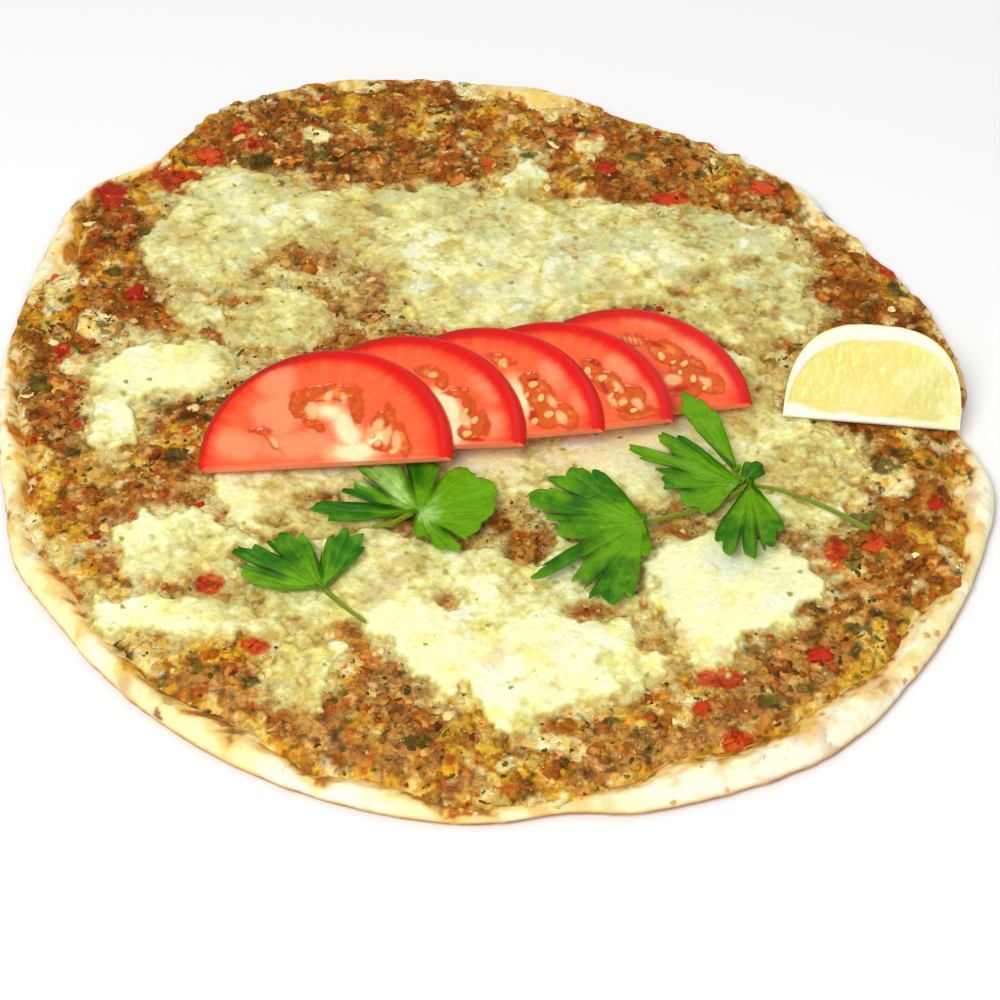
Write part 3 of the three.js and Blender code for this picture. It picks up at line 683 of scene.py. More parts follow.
def buildBread():
    angle = np.arange(bread["spokes"]) * 360 / bread["spokes"]
    edge, width, height = edgeRadius(angle), rimWidth(angle), rimHeight(angle)
    section = curveThrough(bread["rimSection"], bread["sectionSteps"])
    outer = (edge[:, None] - bread["inset"]) - section[:, 0] - section[:, 1] * width[:, None]
    level = np.maximum(section[:, 2] + section[:, 3] * height[:, None], 0)
    under = np.arange(1, bread["undersideRings"]) / bread["undersideRings"]
    floorShares = np.array([0.985, 0.95, 0.88, 0.7, 0.35])
    radius = np.concatenate([outer[:, :1] * under, outer, outer[:, -1:] * floorShares], 1)
    z = np.concatenate([np.zeros((len(angle), len(under))), level,
                        np.full((len(angle), len(floorShares)), bread["floor"])], 1)
    turn = np.radians(angle)[:, None]
    points = np.stack([radius * np.cos(turn), radius * np.sin(turn), z], 2)
    rows, columns = radius.shape
    normal = np.cross(np.roll(points, -1, 0) - np.roll(points, 1, 0), np.gradient(points, axis=1))
    normal /= np.linalg.norm(normal, axis=2, keepdims=True) + 1e-9

    first, last = len(under), len(under) + len(section) - 1
    share = np.zeros(columns)                        # 0 at the underside, 1 at the foot of the mince
    share[first:last + 1] = np.linspace(0, 1, len(section))
    share[last:] = 1
    x, y = points[:, :, 0] + 0.9 * z, points[:, :, 1] - 0.7 * z
    dome, _, own = lumps(x + noise(x, y, 5.0, 30), y, 7.0, 31)
    blister = smoothStep(own, 0.55, 0.75) * smoothStep(dome, 0.3, 0.8)
    lift = bread["relief"] * (noise(x, y, 7.0, 21) + 0.6 * noise(x, y, 2.4, 22)) + bread["blister"] * blister
    onRim = smoothStep(share, 0.3, 0.5) * (1 - 0.5 * smoothStep(share, 0.9, 1.0))
    onWall = 0.35 * smoothStep(share, 0.1, 0.25) * (1 - smoothStep(share, 0.3, 0.5))
    points += normal * (lift * (onRim + onWall))[:, :, None]
    isUnder = np.arange(columns) < first
    dent = np.maximum(noise(points[:, :, 0], points[:, :, 1], 9.0, 25), 0) * 0.3
    points[:, :, 2] += np.where(isUnder, dent * smoothStep(radius, 4, 20), 0)
    points[:, :, 2] = np.maximum(points[:, :, 2], 0)
    paint = breadPaint(x, y, angle[:, None], share * np.ones((rows, 1)), blister)

    flat = np.concatenate([points.reshape(-1, 3), [[0, 0, 0], [0, 0, bread["floor"]]]])
    lowPole, highPole = len(flat) - 2, len(flat) - 1
    paint = np.concatenate([paint.reshape(-1, 3), [linear(*bread[key]) for key in ("underneath", "cream")]])
    k = np.arange(rows)
    following = (k + 1) % rows
    fans = np.concatenate([
        np.stack([np.full(rows, lowPole), following * columns, k * columns], 1),
        np.stack([np.full(rows, highPole), (k + 1) * columns - 1, (following + 1) * columns - 1], 1)])
    onSlope = smoothStep(share, 0.6, 0.75) * (1 - smoothStep(width, 5.5, 9))[:, None] * (share < 0.99)
    onSlope = np.concatenate([onSlope.ravel(), [0, 0]])
    piece = meshPiece("breadCrust", flat, [ringQuads(rows, columns), fans], materials["dough"], paint,
                      {"spill": onSlope})
    return settle(piece, "bread", "flatbread")


# Cheese and mince share their fields, because the cheese lies on the mince and lets it show where thin

patches = {
    "cheese_back": {"lobes": ((-82, 80, 24, 20), (-90, 57, 20, 15), (-48, 78, 20, 14), (-64, 30, 16, 14),
        (-18, 68, 30, 26), (2, 48, 34, 22), (30, 66, 34, 23), (70, 62, 28, 24), (80, 40, 19, 16),
        (9, 98, 7, 15)), "holes": ((-58, 54, 11, 8), (-37, 43, 4, 13), (-80, 37, 8, 4))},
    "cheese_scrap": {"lobes": ((-88, 30, 9, 7),), "holes": ()},
    "cheese_left": {"lobes": ((-98, 5, 18, 11), (-86, 10, 10, 8), (-109, -15, 7, 17)), "holes": ()},
    "cheese_middle": {"lobes": ((-52, -40, 28, 19), (-14, -22, 34, 26), (32, -20, 34, 24),
        (76, -24, 32, 20), (66, 4, 22, 18), (92, -38, 14, 12)), "holes": ((-46, -44, 4, 3),)},
    "cheese_front": {"lobes": ((-84, -64, 20, 13), (-84, -91, 24, 8), (-47, -104, 10, 15),
        (-35, -74, 28, 19), (2, -84, 33, 24), (16, -101, 34, 18), (10, -118, 8, 9), (28, -76, 16, 18)),
        "holes": ((-75, -78, 5, 4), (-9, -82, 4, 3), (31, -85, 7, 3), (-37, -95, 5, 4), (13, -58, 9, 8),
        (-3, -117, 3, 8))},
    "cheese_right": {"lobes": ((69, -71, 26, 19), (64, -93, 9, 13)), "holes": ()},
}

cheese = {
    "cell": 0.62, "under": 4.6, "base": 4.75, "edge": 0.35, "thickness": 1.45, "gap": 0.4, "spare": 8,
    "pit": 0.8, "highest": 6.85,
    # How far the thin edge runs past the solid patch
    "spread": 0.9,
    "raggedEdge": ((8.0, 1.9), (3.2, 1.3), (1.5, 0.5)),
    # Size of the melted shreds
    "shreds": 4.6,
    "stops": ((170, 136, 56), (188, 164, 80), (204, 190, 108), (218, 209, 132), (232, 226, 152),
        (245, 242, 176), (251, 250, 198)),
    "yellow": (242, 230, 100), "grey": (208, 214, 160), "rosy": (222, 186, 130), "milky": (252, 253, 224),
    "olive": (116, 120, 40),
    # Where the cheese is thick and white, and where it is thin: x, y, half width, half depth, strength
    "thick": ((70, -72, 26, 20, 0.55), (-98, 6, 18, 9, 0.5), (-104, -12, 7, 12, 0.25),
        (0, -100, 34, 20, 0.35), (20, -20, 30, 14, 0.35), (30, -60, 22, 10, 0.25), (-84, -90, 18, 6, 0.3),
        (-90, 28, 9, 7, 0.3), (-40, -64, 16, 8, 0.25), (-60, -38, 12, 6, 0.2), (-15, 62, 22, 14, 0.2),
        (-76, 78, 22, 12, 0.18), (46, -24, 24, 12, 0.2), (76, -20, 18, 10, 0.15), (-88, -64, 16, 9, 0.18),
        (-20, -96, 16, 10, 0.2), (-60, 66, 14, 8, 0.1), (-12, -34, 16, 10, 0.2), (-74, -48, 8, 8, 0.2)),
    "thin": ((-53, 65, 15, 9, 0.4), (-61, 50, 13, 8, 0.35), (-42, 80, 8, 4, 0.3), (-35, 44, 8, 13, 0.5),
        (-82, 38, 12, 5, 0.5), (-66, 28, 12, 8, 0.15), (59, 47, 4, 3, 0.6), (79, 62, 5, 4, 0.5),
        (82, 42, 14, 12, 0.2), (64, 56, 6, 3, 0.35), (92, -28, 13, 12, 0.32), (84, -54, 12, 5, 0.35),
        (-48, -106, 10, 14, 0.28), (20, -52, 12, 8, 0.2), (13, -60, 6, 5, 0.6), (-9, -80, 4, 3.5, 0.6),
        (30, -84, 8, 3, 0.5), (54, -55, 6, 4, 0.5), (89, -54, 5, 3, 0.4), (-46, -44, 4, 3, 0.5),
        (-76, -78, 5, 5, 0.6), (-36, -93, 5, 4, 0.5), (85, 8, 8, 12, 0.3), (70, -12, 12, 6, 0.25),
        (-60, -54, 5, 3, 0.45), (-118, -42, 10, 6, 0.3), (38, -44, 8, 4, 0.3), (14, 92, 10, 5, 0.2)),
}

mince = {
    "cell": 0.84, "bottom": 3.0, "level": 4.9, "edgeDrop": 1.1, "edgeRise": 4.0, "relief": 1.3,
    "reliefLength": 23, "raggedEdge": ((9.0, 1.7), (3.0, 0.9)),
    # Past the foot of the rim, and further where that is narrow
    "outset": 0.6, "outsetNarrow": 2.6,
    "overRim": 0.4, "sunk": 0.25,
    # Size, height and seed of the lumps
    "lumpSizes": ((6.0, 0.8, 61), (2.9, 0.6, 65), (1.6, 0.3, 69)),
    # How much of the lumps stays under the cheese
    "underCheese": 0.3,
    "meat": ((170, 98, 18), (156, 74, 2), (188, 120, 34), (142, 80, 6), (100, 46, 0), (200, 134, 54),
        (216, 164, 88), (176, 82, 10)),
    "oil": ((218, 154, 26), (238, 188, 50), (200, 116, 12), (244, 210, 104), (180, 90, 2), (230, 172, 34),
        (164, 104, 14)),
    "dough": ((246, 228, 158), (238, 208, 116), (250, 240, 186), (224, 180, 84)),
    "film": ((222, 206, 124), (206, 182, 96), (236, 226, 150), (190, 158, 76), (168, 124, 46),
        (214, 200, 132)),
    "scrap": (238, 230, 160), "greyScrap": (210, 212, 166),
    "herbs": ((64, 62, 10), (42, 42, 10), (100, 94, 22)),
    "reds": ((178, 32, 6), (200, 56, 12), (160, 28, 6), (212, 88, 26)), "gap": (84, 42, 0),
    "dark": (104, 54, 4), "paintedLightMeat": (214, 162, 84),
    "oilSpots": ((-60, 140, 14, 8), (-35, 146, 10, 6), (0, 136, 12, 12), (25, 136, 12, 9), (84, 108, 20, 9),
        (-130, 26, 9, 14), (128, 52, 8, 14), (126, -18, 8, 8), (58, -104, 9, 9), (30, -114, 10, 5),
        (10, -136, 16, 6), (-68, -102, 10, 6), (-85, -22, 9, 8), (-128, -45, 6, 16), (112, -118, 6, 6),
        (-120, 92, 8, 6), (-100, 128, 10, 8), (118, -30, 8, 9), (58, 110, 14, 5), (46, -118, 14, 7)),
    "doughSpots": ((-8, 146, 7, 7), (17, 142, 4, 12), (-46, 149, 7, 7), (-112, 104, 6, 5), (-124, 6, 5, 4),
        (112, 84, 9, 6), (120, 74, 7, 6), (118, -30, 6, 7), (106, -37, 4, 3), (-120, 24, 6, 7),
        (-134, 44, 5, 12), (-112, 128, 5, 4), (-60, 118, 5, 4), (30, 118, 5, 5), (104, -66, 4, 3),
        (-128, -62, 5, 10), (20, -130, 8, 3), (-96, 132, 6, 4)),
    "herbSpots": ((-133, -2, 5, 4), (-77, 104, 5, 3), (-109, 67, 5, 3), (-97, -105, 5, 3),
        (-15, -131, 4, 2.5), (78, -114, 4, 3), (108, -46, 5, 3), (103, 84, 4, 3), (-90, -30, 5, 3),
        (-57, 107, 6, 3), (116, -25, 4, 3), (127, 53, 4, 4), (-73, 92, 5, 3), (45, 112, 4, 3),
        (88, -109, 2.5, 2), (110, -47, 3, 2), (100, -55, 2.5, 2), (104, -64, 2, 2), (118, -76, 2, 1.5),
        (102, -88, 2.5, 2), (109, -81, 2, 1.6), (93, -98, 2, 1.5), (-122, 64, 3, 2), (-118, 48, 2.5, 2),
        (-40, 122, 3, 2), (10, 112, 3, 2), (66, 104, 3, 2), (-120, -30, 3, 2), (-60, -112, 3, 2),
        (36, -122, 2.5, 1.6)),
    "redSpots": ((-122, 84, 4, 9), (-94, 106, 5, 5), (-84, 120, 3.5, 3.5), (-80, 112, 3, 4),
        (-110, 38, 3.5, 3.5), (35, 106, 4, 3), (56, 92, 7, 3), (87, 98, 5, 4), (125, 62, 4, 4),
        (130, -39, 3, 3), (112, -55, 3, 3), (93, -97, 3, 3), (60, -117, 3, 3), (65, -106, 7, 4),
        (69, -127, 5, 3), (100, -60, 3, 6), (-129, 12, 3, 3), (-75, -78, 4, 4), (-100, 92, 10, 6),
        (-60, -100, 4, 3), (-108, 96, 5, 4)),
    "filmSpots": ((-54, 58, 20, 16), (-36, 36, 9, 12), (-88, -56, 12, 5), (95, -26, 12, 12),
        (86, -54, 12, 5), (-50, -106, 10, 16), (55, -90, 6, 14), (-80, 37, 14, 7), (30, -50, 26, 7),
        (-60, -54, 16, 5), (86, 10, 8, 14), (-78, -76, 12, 6), (-70, 12, 8, 12), (-116, -72, 6, 5),
        (74, -46, 14, 5), (0, -60, 12, 5), (-30, -52, 12, 4), (-94, 18, 12, 4), (-6, 92, 16, 5),
        (52, 86, 16, 4), (-100, -100, 6, 3)),
    # Open mince inside the film and between the patches of cheese
    "bareSpots": ((-57, 57, 9, 6), (-37, 43, 4.5, 12), (-80, 37, 9, 3.5), (13, -60, 9, 6),
        (-9, -82, 4, 3.5), (-46, -44, 4, 3), (-76, -79, 5, 4), (31, -85, 7, 3.5), (-37, -95, 6, 5),
        (54, -54, 7, 4), (89, -56, 6, 4), (-72, 26, 4, 3), (-118, 60, 10, 16), (-108, 76, 8, 8),
        (-104, -44, 8, 12), (-112, -62, 6, 8), (-88, -28, 10, 8), (60, -92, 5, 6), (-70, -104, 10, 6),
        (-4, -122, 12, 4), (-112, 46, 9, 10), (-108, -52, 10, 12), (-116, -36, 8, 8)),
    "lumpSeed": 7, "lumpCount": 52, "lumpTries": 9000, "lumpSpacing": 11, "lumpSize": (2.6, 4.4),
    "lumpClear": 1.2, "lumpHalfHeight": 1.76,
    # No lumps under the lemon: its middle and half width, front and back
    "underLemon": (113.2, 31, -14.2, 25.3),
}


# Bits of red pepper: x, y, half length, direction
pepperPlaces = (
    (-121, 82, 6.5, -55), (-95, 106, 5, -40), (-84, 119, 4, 20), (-110, 38, 3.5, 70), (35, 105, 3.5, 15),
    (87, 98, 3.5, -30), (112, -56, 3.5, 40), (93, -97, 3.2, 10), (61, -117, 3, 60), (130, -40, 3, 30),
)


# Distance in millimetres into an oval, by x, y, half width, half depth and turn in degrees
def ovalField(x, y, cx, cy, halfWidth, halfDepth, turn=0):
    u, v = turned(x - cx, y - cy, -math.radians(turn))
    return (1 - np.hypot(u / halfWidth, v / halfDepth)) * min(halfWidth, halfDepth)


# The same for the nearest of some ovals
def ovalsAt(x, y, ovals):
    return np.max([np.full(np.shape(x), -9.0)] + [ovalField(x, y, *oval) for oval in ovals], axis=0)


# How far a point lies inside a patch of cheese as the part has it, before the patches are kept apart
def patchField(x, y, patch):
    soft = 3.0
    total = sum(np.exp(ovalField(x, y, *lobe) / soft) for lobe in patch["lobes"])
    filled = soft * np.log(total) + 1.6 * ripple(x, y, 17) - 0.6
    for hole in patch["holes"]:
        filled = np.minimum(filled, -ovalField(x, y, *hole))
    return filled


def ragged(x, y, waves, seed):
    return sum(height * noise(x, y, length, seed + 5 * k, 2) for k, (length, height) in enumerate(waves))


# The same with a thin ragged edge
def lobedField(x, y, patch):
    return patchField(x, y, patch) + cheese["spread"] + ragged(x, y, cheese["raggedEdge"], 71)


def cheeseField(name, x, y):
    field = lobedField(x, y, patches[name])
    for other in list(patches)[:list(patches).index(name)]:
        field = np.minimum(field, -lobedField(x, y, patches[other]) - cheese["gap"])
    return field


def cheeseCover(x, y):
    return np.max([lobedField(x, y, patch) for patch in patches.values()], axis=0)


# 1 where cheese has run into the mince as a pale film
def filmAt(x, y, cover):
    near = smoothStep(cover + 3.8 * noise(x, y, 8.0, 111) + 2.5 * noise(x, y, 2.8, 112), -4.5, 0.8)
    near = near * (1 - 0.4 * smoothStep(cover, 2.0, 6.0))
    spots = spotsAt(x, y, mince["filmSpots"]) + 0.45 * noise(x, y, 5.0, 113) + 0.3 * noise(x, y, 2.4, 114)
    film = np.maximum(near, smoothStep(spots, 0.3, 0.85))
    u, v = x + noise(x, y, 5.0, 118), y + noise(x, y, 5.0, 119)
    return film * (1 - 0.8 * spotsAt(u, v, mince["bareSpots"], 0.5))


# Scraps of cheese inside the film
def scrapsAt(x, y, film):
    return film * smoothStep(noise(x, y, 4.6, 115) + 0.45 * noise(x, y, 2.0, 116), 0.0, 0.6)


# Height of the rim's inner slope
def rimSurface(angle, radius):
    share = (edgeRadius(angle) - radius) / rimWidth(angle)
    stops = (0.45, 0.75, 1.0)
    fixed, puffed = np.interp(share, stops, (0.0, 1.5, 3.0)), np.interp(share, stops, (1.0, 0.5, 0.0))
    return fixed + puffed * rimHeight(angle)


def minceField(x, y):
    angle = compass(x, y)
    width = rimWidth(angle)
    outset = mince["outset"] + (mince["outsetNarrow"] - mince["outset"]) * (1 - smoothStep(width, 4.8, 8.0))
    return edgeRadius(angle) - width - np.hypot(x, y) + outset + ragged(x, y, mince["raggedEdge"], 51)


def minceHeight(x, y, inside, cover):
    shelf = mince["level"] - mince["edgeDrop"] * (1 - smoothStep(inside, 0, mince["edgeRise"]))
    bare = smoothStep(-cover, -1.0, 9.0)
    hills = mince["relief"] * bare * (0.45 + 0.55 * ripple(x, y, mince["reliefLength"]))
    rough = 0
    for size, height, seed in mince["lumpSizes"]:
        dome, _, own = lumps(x + 0.7 * noise(x, y, 3.0, seed + 9), y, size, seed)
        rough = rough + height * smoothStep(dome, 0.1, 0.85) * (0.2 + own)
    kept = mince["underCheese"] + (1 - mince["underCheese"]) * bare
    top = shelf + hills * smoothStep(inside, 0, 9.8)
    top = np.maximum(top, rimSurface(compass(x, y), np.hypot(x, y)) + mince["overRim"])
    scraps = 0.35 * scrapsAt(x, y, filmAt(x, y, cover))
    return top + (rough * kept + scraps) * smoothStep(inside, -0.5, 2.0) - mince["sunk"]


# 1 where golden oil lies on the mince
def oilAt(x, y, inside):
    oily = noise(x, y, 19.0, 84) + 0.6 * noise(x, y, 6.0, 85) + 1.1 * spotsAt(x, y, mince["oilSpots"])
    edge = (1 - smoothStep(inside, 1.0, 5.0)) * smoothStep(noise(x, y, 8.0, 86), -0.7, 0.3)
    return np.maximum(smoothStep(oily, 0.05, 0.7), edge)


def mincePaint(x, y, inside, cover):
    bend = 0.3 * noise(x, y, 6.0, 82) + 0.25 * noise(x, y, 2.6, 83)
    bigGap = lumps(x, y, *mince["lumpSizes"][1][::2])[1]
    front = smoothStep(-y, 60, 110)
    oily = oilAt(x, y, inside)
    film = filmAt(x, y, cover)
    scraps = scrapsAt(x, y, film)
    outer = 1 - smoothStep(inside, 2, 9)
    crumbly = smoothStep(noise(x, y, 5.0, 87) + 0.3 * oily + 0.25 * outer, 0.62, 0.95)
    doughy = np.maximum(smoothStep(spotsAt(x, y, mince["doughSpots"]) + bend, 0.3, 0.65), 0.8 * crumbly)
    flaky = smoothStep(noise(x, y, 3.2, 88) + 0.3 * noise(x, y, 20.0, 89), 0.58, 0.85) * (1 - 0.6 * film)
    herby = np.maximum(smoothStep(spotsAt(x, y, mince["herbSpots"]) + 1.5 * bend, 0.45, 0.75), flaky)
    spicy = smoothStep(noise(x, y, 4.6, 90) + 0.4 * noise(x, y, 24.0, 92), 0.9, 1.1) * (1 - film)
    red = np.maximum(smoothStep(spotsAt(x, y, mince["redSpots"]) + bend, 0.4, 0.75), 0.7 * spicy)
    return layered(
        patchwork(x, y, mince["meat"], 61),
        # painted light: the mince lighter towards the front
        (mince["paintedLightMeat"], 0.5 * front * smoothStep(noise(x, y, 4.0, 96), -0.7, 0.5)),
        (mince["dark"], 0.55 * smoothStep(noise(x, y, 7.0, 93) + 0.4 * noise(x, y, 2.6, 94), 0.35, 0.9)),
        (patchwork(x, y, mince["oil"], 91, (6.4, 3.0)), oily * 0.9),
        (patchwork(x, y, mince["dough"], 95), doughy),
        # darker in the gaps between the lumps: darker sauce there, and painted shade
        (mince["gap"], (1 - smoothStep(bigGap, 0.02, 0.24)) * 0.5 * (1 - 0.7 * doughy)),
        (patchwork(x, y, mince["film"], 101, (4.4, 2.2)), film * 0.8),
        (mince["scrap"], scraps * 0.8),
        (mince["greyScrap"], scraps * 0.6 * smoothStep(noise(x, y, 7.0, 117), 0.0, 0.6)),
        (patchwork(x, y, mince["herbs"], 105), herby * 0.85),
        (patchwork(x, y, mince["reds"], 109), red * 0.9))


def buildMince():
    reach = bread["meanRadius"] + 20
    x, y, faces = cutGrid(minceField, (-reach, reach, -reach, reach), mince["cell"], 200)
    inside, cover = minceField(x, y), cheeseCover(x, y)
    top = minceHeight(x, y, inside, cover)
    following = dict(openEdges(faces).tolist())
    loop = [next(iter(following))]
    while following[loop[-1]] != loop[0]:
        loop.append(following[loop[-1]])
    points = np.concatenate([np.stack([x, y, top], 1),
                             np.stack([x[loop], y[loop], np.full(len(loop), mince["bottom"])], 1)])
    low = len(x) + np.arange(len(loop))
    walls = np.stack([low, np.roll(low, -1), np.roll(loop, -1), loop], 1)
    everyX, everyY = points[:, 0], points[:, 1]
    paint = mincePaint(everyX, everyY, minceField(everyX, everyY), cheeseCover(everyX, everyY))
    bare = smoothStep(-cover, -1.0, 1.5) * smoothStep(inside, 1.0, 3.0)
    film = filmAt(x, y, cover)
    meaty = smoothStep(noise(x, y, 26.0, 191), -0.8, 0.1) * (1 - 0.8 * spotsAt(x, y, mince["doughSpots"]))
    meaty = meaty * (1 - 0.6 * oilAt(x, y, inside))
    marks = {
        "crumbs": bare * meaty * (1 - 0.7 * film),
        "bits": bare * (1 - 0.6 * scrapsAt(x, y, film)),
        "herbs": bare * smoothStep(noise(x, y, 9.0, 192), -0.2, 0.7) * (1 - 0.85 * film),
        "reds": bare * smoothStep(noise(x, y, 24.0, 193), -0.1, 0.7) * (1 - film),
    }
    marks = {key: np.concatenate([values, np.zeros(len(loop))]) for key, values in marks.items()}
    faces = [faces, walls, low[::-1][None, :]]
    return settle(meshPiece("minceLayer", points, faces, materials["meat"], paint, marks), "mince", "mince")


# Thickness of the melted cheese from 0 to about 1, soft for its form and finer for its colour
def cheeseBody(x, y, inside):
    broad = 0.62 + 0.30 * noise(x, y, 14.0, 124) + 0.18 * noise(x, y, 5.0, 125)
    for *spot, strength in cheese["thick"]:
        broad = broad + strength * spotsAt(x, y, (spot,), 0.5)
    bend = 0.3 * noise(x, y, 4.0, 127) + 0.3 * noise(x, y, 1.9, 128)
    for *spot, strength in cheese["thin"]:
        broad = broad - 1.25 * strength * np.clip(spotsAt(x, y, (spot,), 0.5) * (1 + bend), 0, 1.4)
    lively = 1 - 0.75 * smoothStep(broad, 0.75, 1.25)    # thick cheese has run smooth
    u, v = x + 1.6 * noise(x, y, 5.0, 121), y + 1.6 * noise(x, y, 5.0, 122)
    shreds = smoothStep(np.abs(noise(u, v, cheese["shreds"], 123, 2)), 0.0, 0.5) - 0.6
    scraps = smoothStep(np.abs(noise(v, u, 0.45 * cheese["shreds"], 130, 2)), 0.0, 0.5) - 0.6
    form = broad + lively * (0.20 * shreds + 0.10 * scraps + 0.10 * noise(x, y, 3.0, 126, 2))
    mottle = 0.22 * noise(x, y, 3.6, 126) + 0.12 * noise(x, y, 1.5, 137, 2)
    tone = broad + lively * (0.26 * shreds + 0.2 * scraps + mottle) + 0.1 * noise(x, y, 8.0, 141, 2)
    edge = smoothStep(inside + 0.8 * noise(x, y, 2.4, 138), -0.2, 2.4)
    return [np.clip(np.minimum(body, 1.05) * edge, 0, 1) for body in (form, tone)]


def cheesePaint(x, y, body):
    # Towards the back the cheese is painted darker and greyer: painted shade, over its own grey mottle.
    back, mild, thick = smoothStep(y, -25, 50), smoothStep(body, 0.2, 0.45), smoothStep(body, 0.72, 1.0)
    grey = smoothStep(noise(x, y, 10.0, 131) + 0.4 * noise(x, y, 3.0, 139), 0.0, 0.8) * (0.3 + 0.45 * back)
    yellow = smoothStep(noise(x, y, 8.0, 132) + 0.3 * noise(x, y, 2.6, 140), 0.35, 0.9)
    olive = smoothStep(noise(x, y, 3.2, 135) + 0.3 * noise(x, y, 15.0, 136), 0.75, 1.0)
    return layered(
        ramp(np.clip(body * (1.0 - 0.08 * back), 0, 1), cheese["stops"]),
        (cheese["grey"], mild * grey * (1 - 0.6 * smoothStep(body, 0.85, 1.0))),
        (cheese["yellow"], 0.45 * mild * yellow),
        (cheese["rosy"], 0.45 * mild * smoothStep(noise(x, y, 12.0, 133), 0.5, 1.0)),
        (cheese["milky"], 0.8 * thick * smoothStep(noise(x, y, 8.0, 134), 0.0, 0.7)),
        (cheese["olive"], 0.5 * olive * (1 - smoothStep(body, 0.75, 1.0))),
        (mincePaint(x, y, np.full(len(x), 50.0), cheeseCover(x, y)), 1 - smoothStep(body, 0.05, 0.3)))


print("bread and mince")
breadCrust = buildBread()
minceLayer = buildMince()


def buildCheese(name):
    x, y, halfWidth, halfDepth = np.array(patches[name]["lobes"], float).T
    spare = cheese["spare"]
    box = ((x - halfWidth).min() - spare, (x + halfWidth).max() + spare,
           (y - halfDepth).min() - spare, (y + halfDepth).max() + spare)
    x, y, faces = cutGrid(lambda u, v: cheeseField(name, u, v), box, cheese["cell"], 40)
    inside = np.maximum(cheeseField(name, x, y), 0)
    form, body = cheeseBody(x, y, inside)
    top = cheese["base"] + cheese["edge"] * smoothStep(inside, 0, 0.9) + 0.05 * noise(x, y, 1.8, 129, 2)
    top = top + cheese["thickness"] * (0.3 * smoothStep(form, 0.05, 0.2) + 0.75 * form)
    top = top - cheese["pit"] * (1 - smoothStep(form, 0.0, 0.14)) * smoothStep(inside, 0.4, 1.2)
    top = np.clip(top, cheese["under"] + 0.1, cheese["highest"])
    points, tables = closedBody(x, y, top, np.full(len(x), cheese["under"]), faces)
    paint = np.tile(cheesePaint(x, y, body), (2, 1))
    piece = meshPiece(name.replace("cheese_", "cheeseMelt_"), points, tables, materials["cheese"], paint)
    return settle(piece, "cheese", name)


# The part's own fixed order of random values
def drawFrom(state):
    while True:
        state = (state * 1664525 + 1013904223) % 2 ** 32
        yield state / 2 ** 32


# Places and shapes of the large lumps of meat, in the order in which the part draws them
def lumpPlaces():
    draw = drawFrom(mince["lumpSeed"])
    places = [pepper[:2] for pepper in pepperPlaces]
    smallest, largest = mince["lumpSize"]
    lemonX, halfWidth, front, back = mince["underLemon"]
    for _ in range(mince["lumpTries"]):
        if len(places) == mince["lumpCount"] + len(pepperPlaces):
            break
        radius = bread["meanRadius"] * math.sqrt(next(draw))
        turn = 2 * math.pi * next(draw)
        x, y = radius * math.cos(turn), radius * math.sin(turn)
        apart = all(math.hypot(px - x, py - y) > mince["lumpSpacing"] for px, py in places)
        if not apart or (abs(x - lemonX) < halfWidth and front < y < back):
            continue
        angle = compass(x, y)
        inside = edgeRadius(angle) - rimWidth(angle) - 2.0 - radius
        clear = min(float(inside), min(float(-patchField(x, y, patch)) for patch in patches.values()))
        if clear - largest > mince["lumpClear"]:
            places.append((x, y))
    found = []
    for x, y in places[len(pepperPlaces):]:
        for _ in range(10):                          # the part draws its ten corners first
            next(draw)
        length = smallest + (largest - smallest) * next(draw)
        breadth = length * (0.65 + 0.25 * next(draw))
        turn = 2 * math.pi * next(draw)
        level = mince["level"] + 0.1 + 0.5 * next(draw)
        found.append((x, y, level, length, breadth, mince["lumpHalfHeight"], turn))
    return found


# One mesh of blobs, each given by place, half length, half breadth, half height and turn
def buildBlobs(name, material, places, squareness, colours):
    parts, tones = [], []
    for number, (x, y, z, length, breadth, height, turn) in enumerate(places):
        shape, triangles = blob(600 + 7 * number, 4, 0.5, squareness)
        acrossX, acrossY = turned(shape[:, 0] * length, shape[:, 1] * breadth, turn)
        wx, wy = x + acrossX, y + acrossY
        wz = z + shape[:, 2] * height + 0.3 * noise(wx, wy, 1.6, 610) * (shape[:, 2] > 0)
        parts.append((np.stack([wx, wy, wz], 1), [triangles], colours(wx, wy)))
        tones.append(np.full(len(shape), float(latticeValue(np.array(number), np.array(3), 611))))
    points, faces, paint = joined(parts)
    piece = meshPiece(name, points, faces, materials[material], paint, {"tone": np.concatenate(tones)})
    return settle(piece, "mince")


print("cheese")
for name in patches:
    buildCheese(name)


print("lumps of meat and pepper")
buildBlobs("meatLumps", "crumb", lumpPlaces(), 0.15,
           lambda x, y: patchwork(x, y, mince["meat"], 61, (2.6, 1.5)))
buildBlobs("pepperPieces", "pepper",
           [(x, y, mince["level"] + 0.6, half, 0.55 * half, 1.15, math.radians(direction))
            for x, y, half, direction in pepperPlaces],
           0.5, lambda x, y: patchwork(x, y, mince["reds"], 109))


# Tomato slices, each made flat and then turned into its place

tomato = {
    "radius": 36.5, "past": 4.0, "thickness": 2.7, "skew": 2.0, "hubShare": 0.28, "arcPoints": 210,
    "cutPoints": 90, "rings": 76, "sideRings": 5, "lowerRings": 6, "gelDepth": 0.5, "bevel": 0.5,
    "cutBevel": 0.2, "gelSwell": 0.28, "skin": (224, 6, 0), "paintedShadeRed": (184, 14, 0),
    "skinEdgeAndShade": (150, 28, 4), "fleshOuter": (238, 48, 14), "flesh": (244, 98, 52),
    "fleshPale": (250, 148, 104), "core": (254, 228, 180), "corePale": (252, 190, 130), "gel": (214, 88, 14),
    "gelDeep": (184, 62, 4), "gelLight": (246, 150, 58), "gelEdge": (212, 72, 8), "seed": (252, 196, 124),
    "seedDark": (226, 132, 58), "seedSides": 12, "seedSteps": 9, "seedSunk": 0.15,
    # Width of the band of red under the skin: direction, width, half width of the stretch in degrees
    "skinBand": ((38, 3.2, 36), (92, 1.6, 30), (165, 0.8, 30)),
}
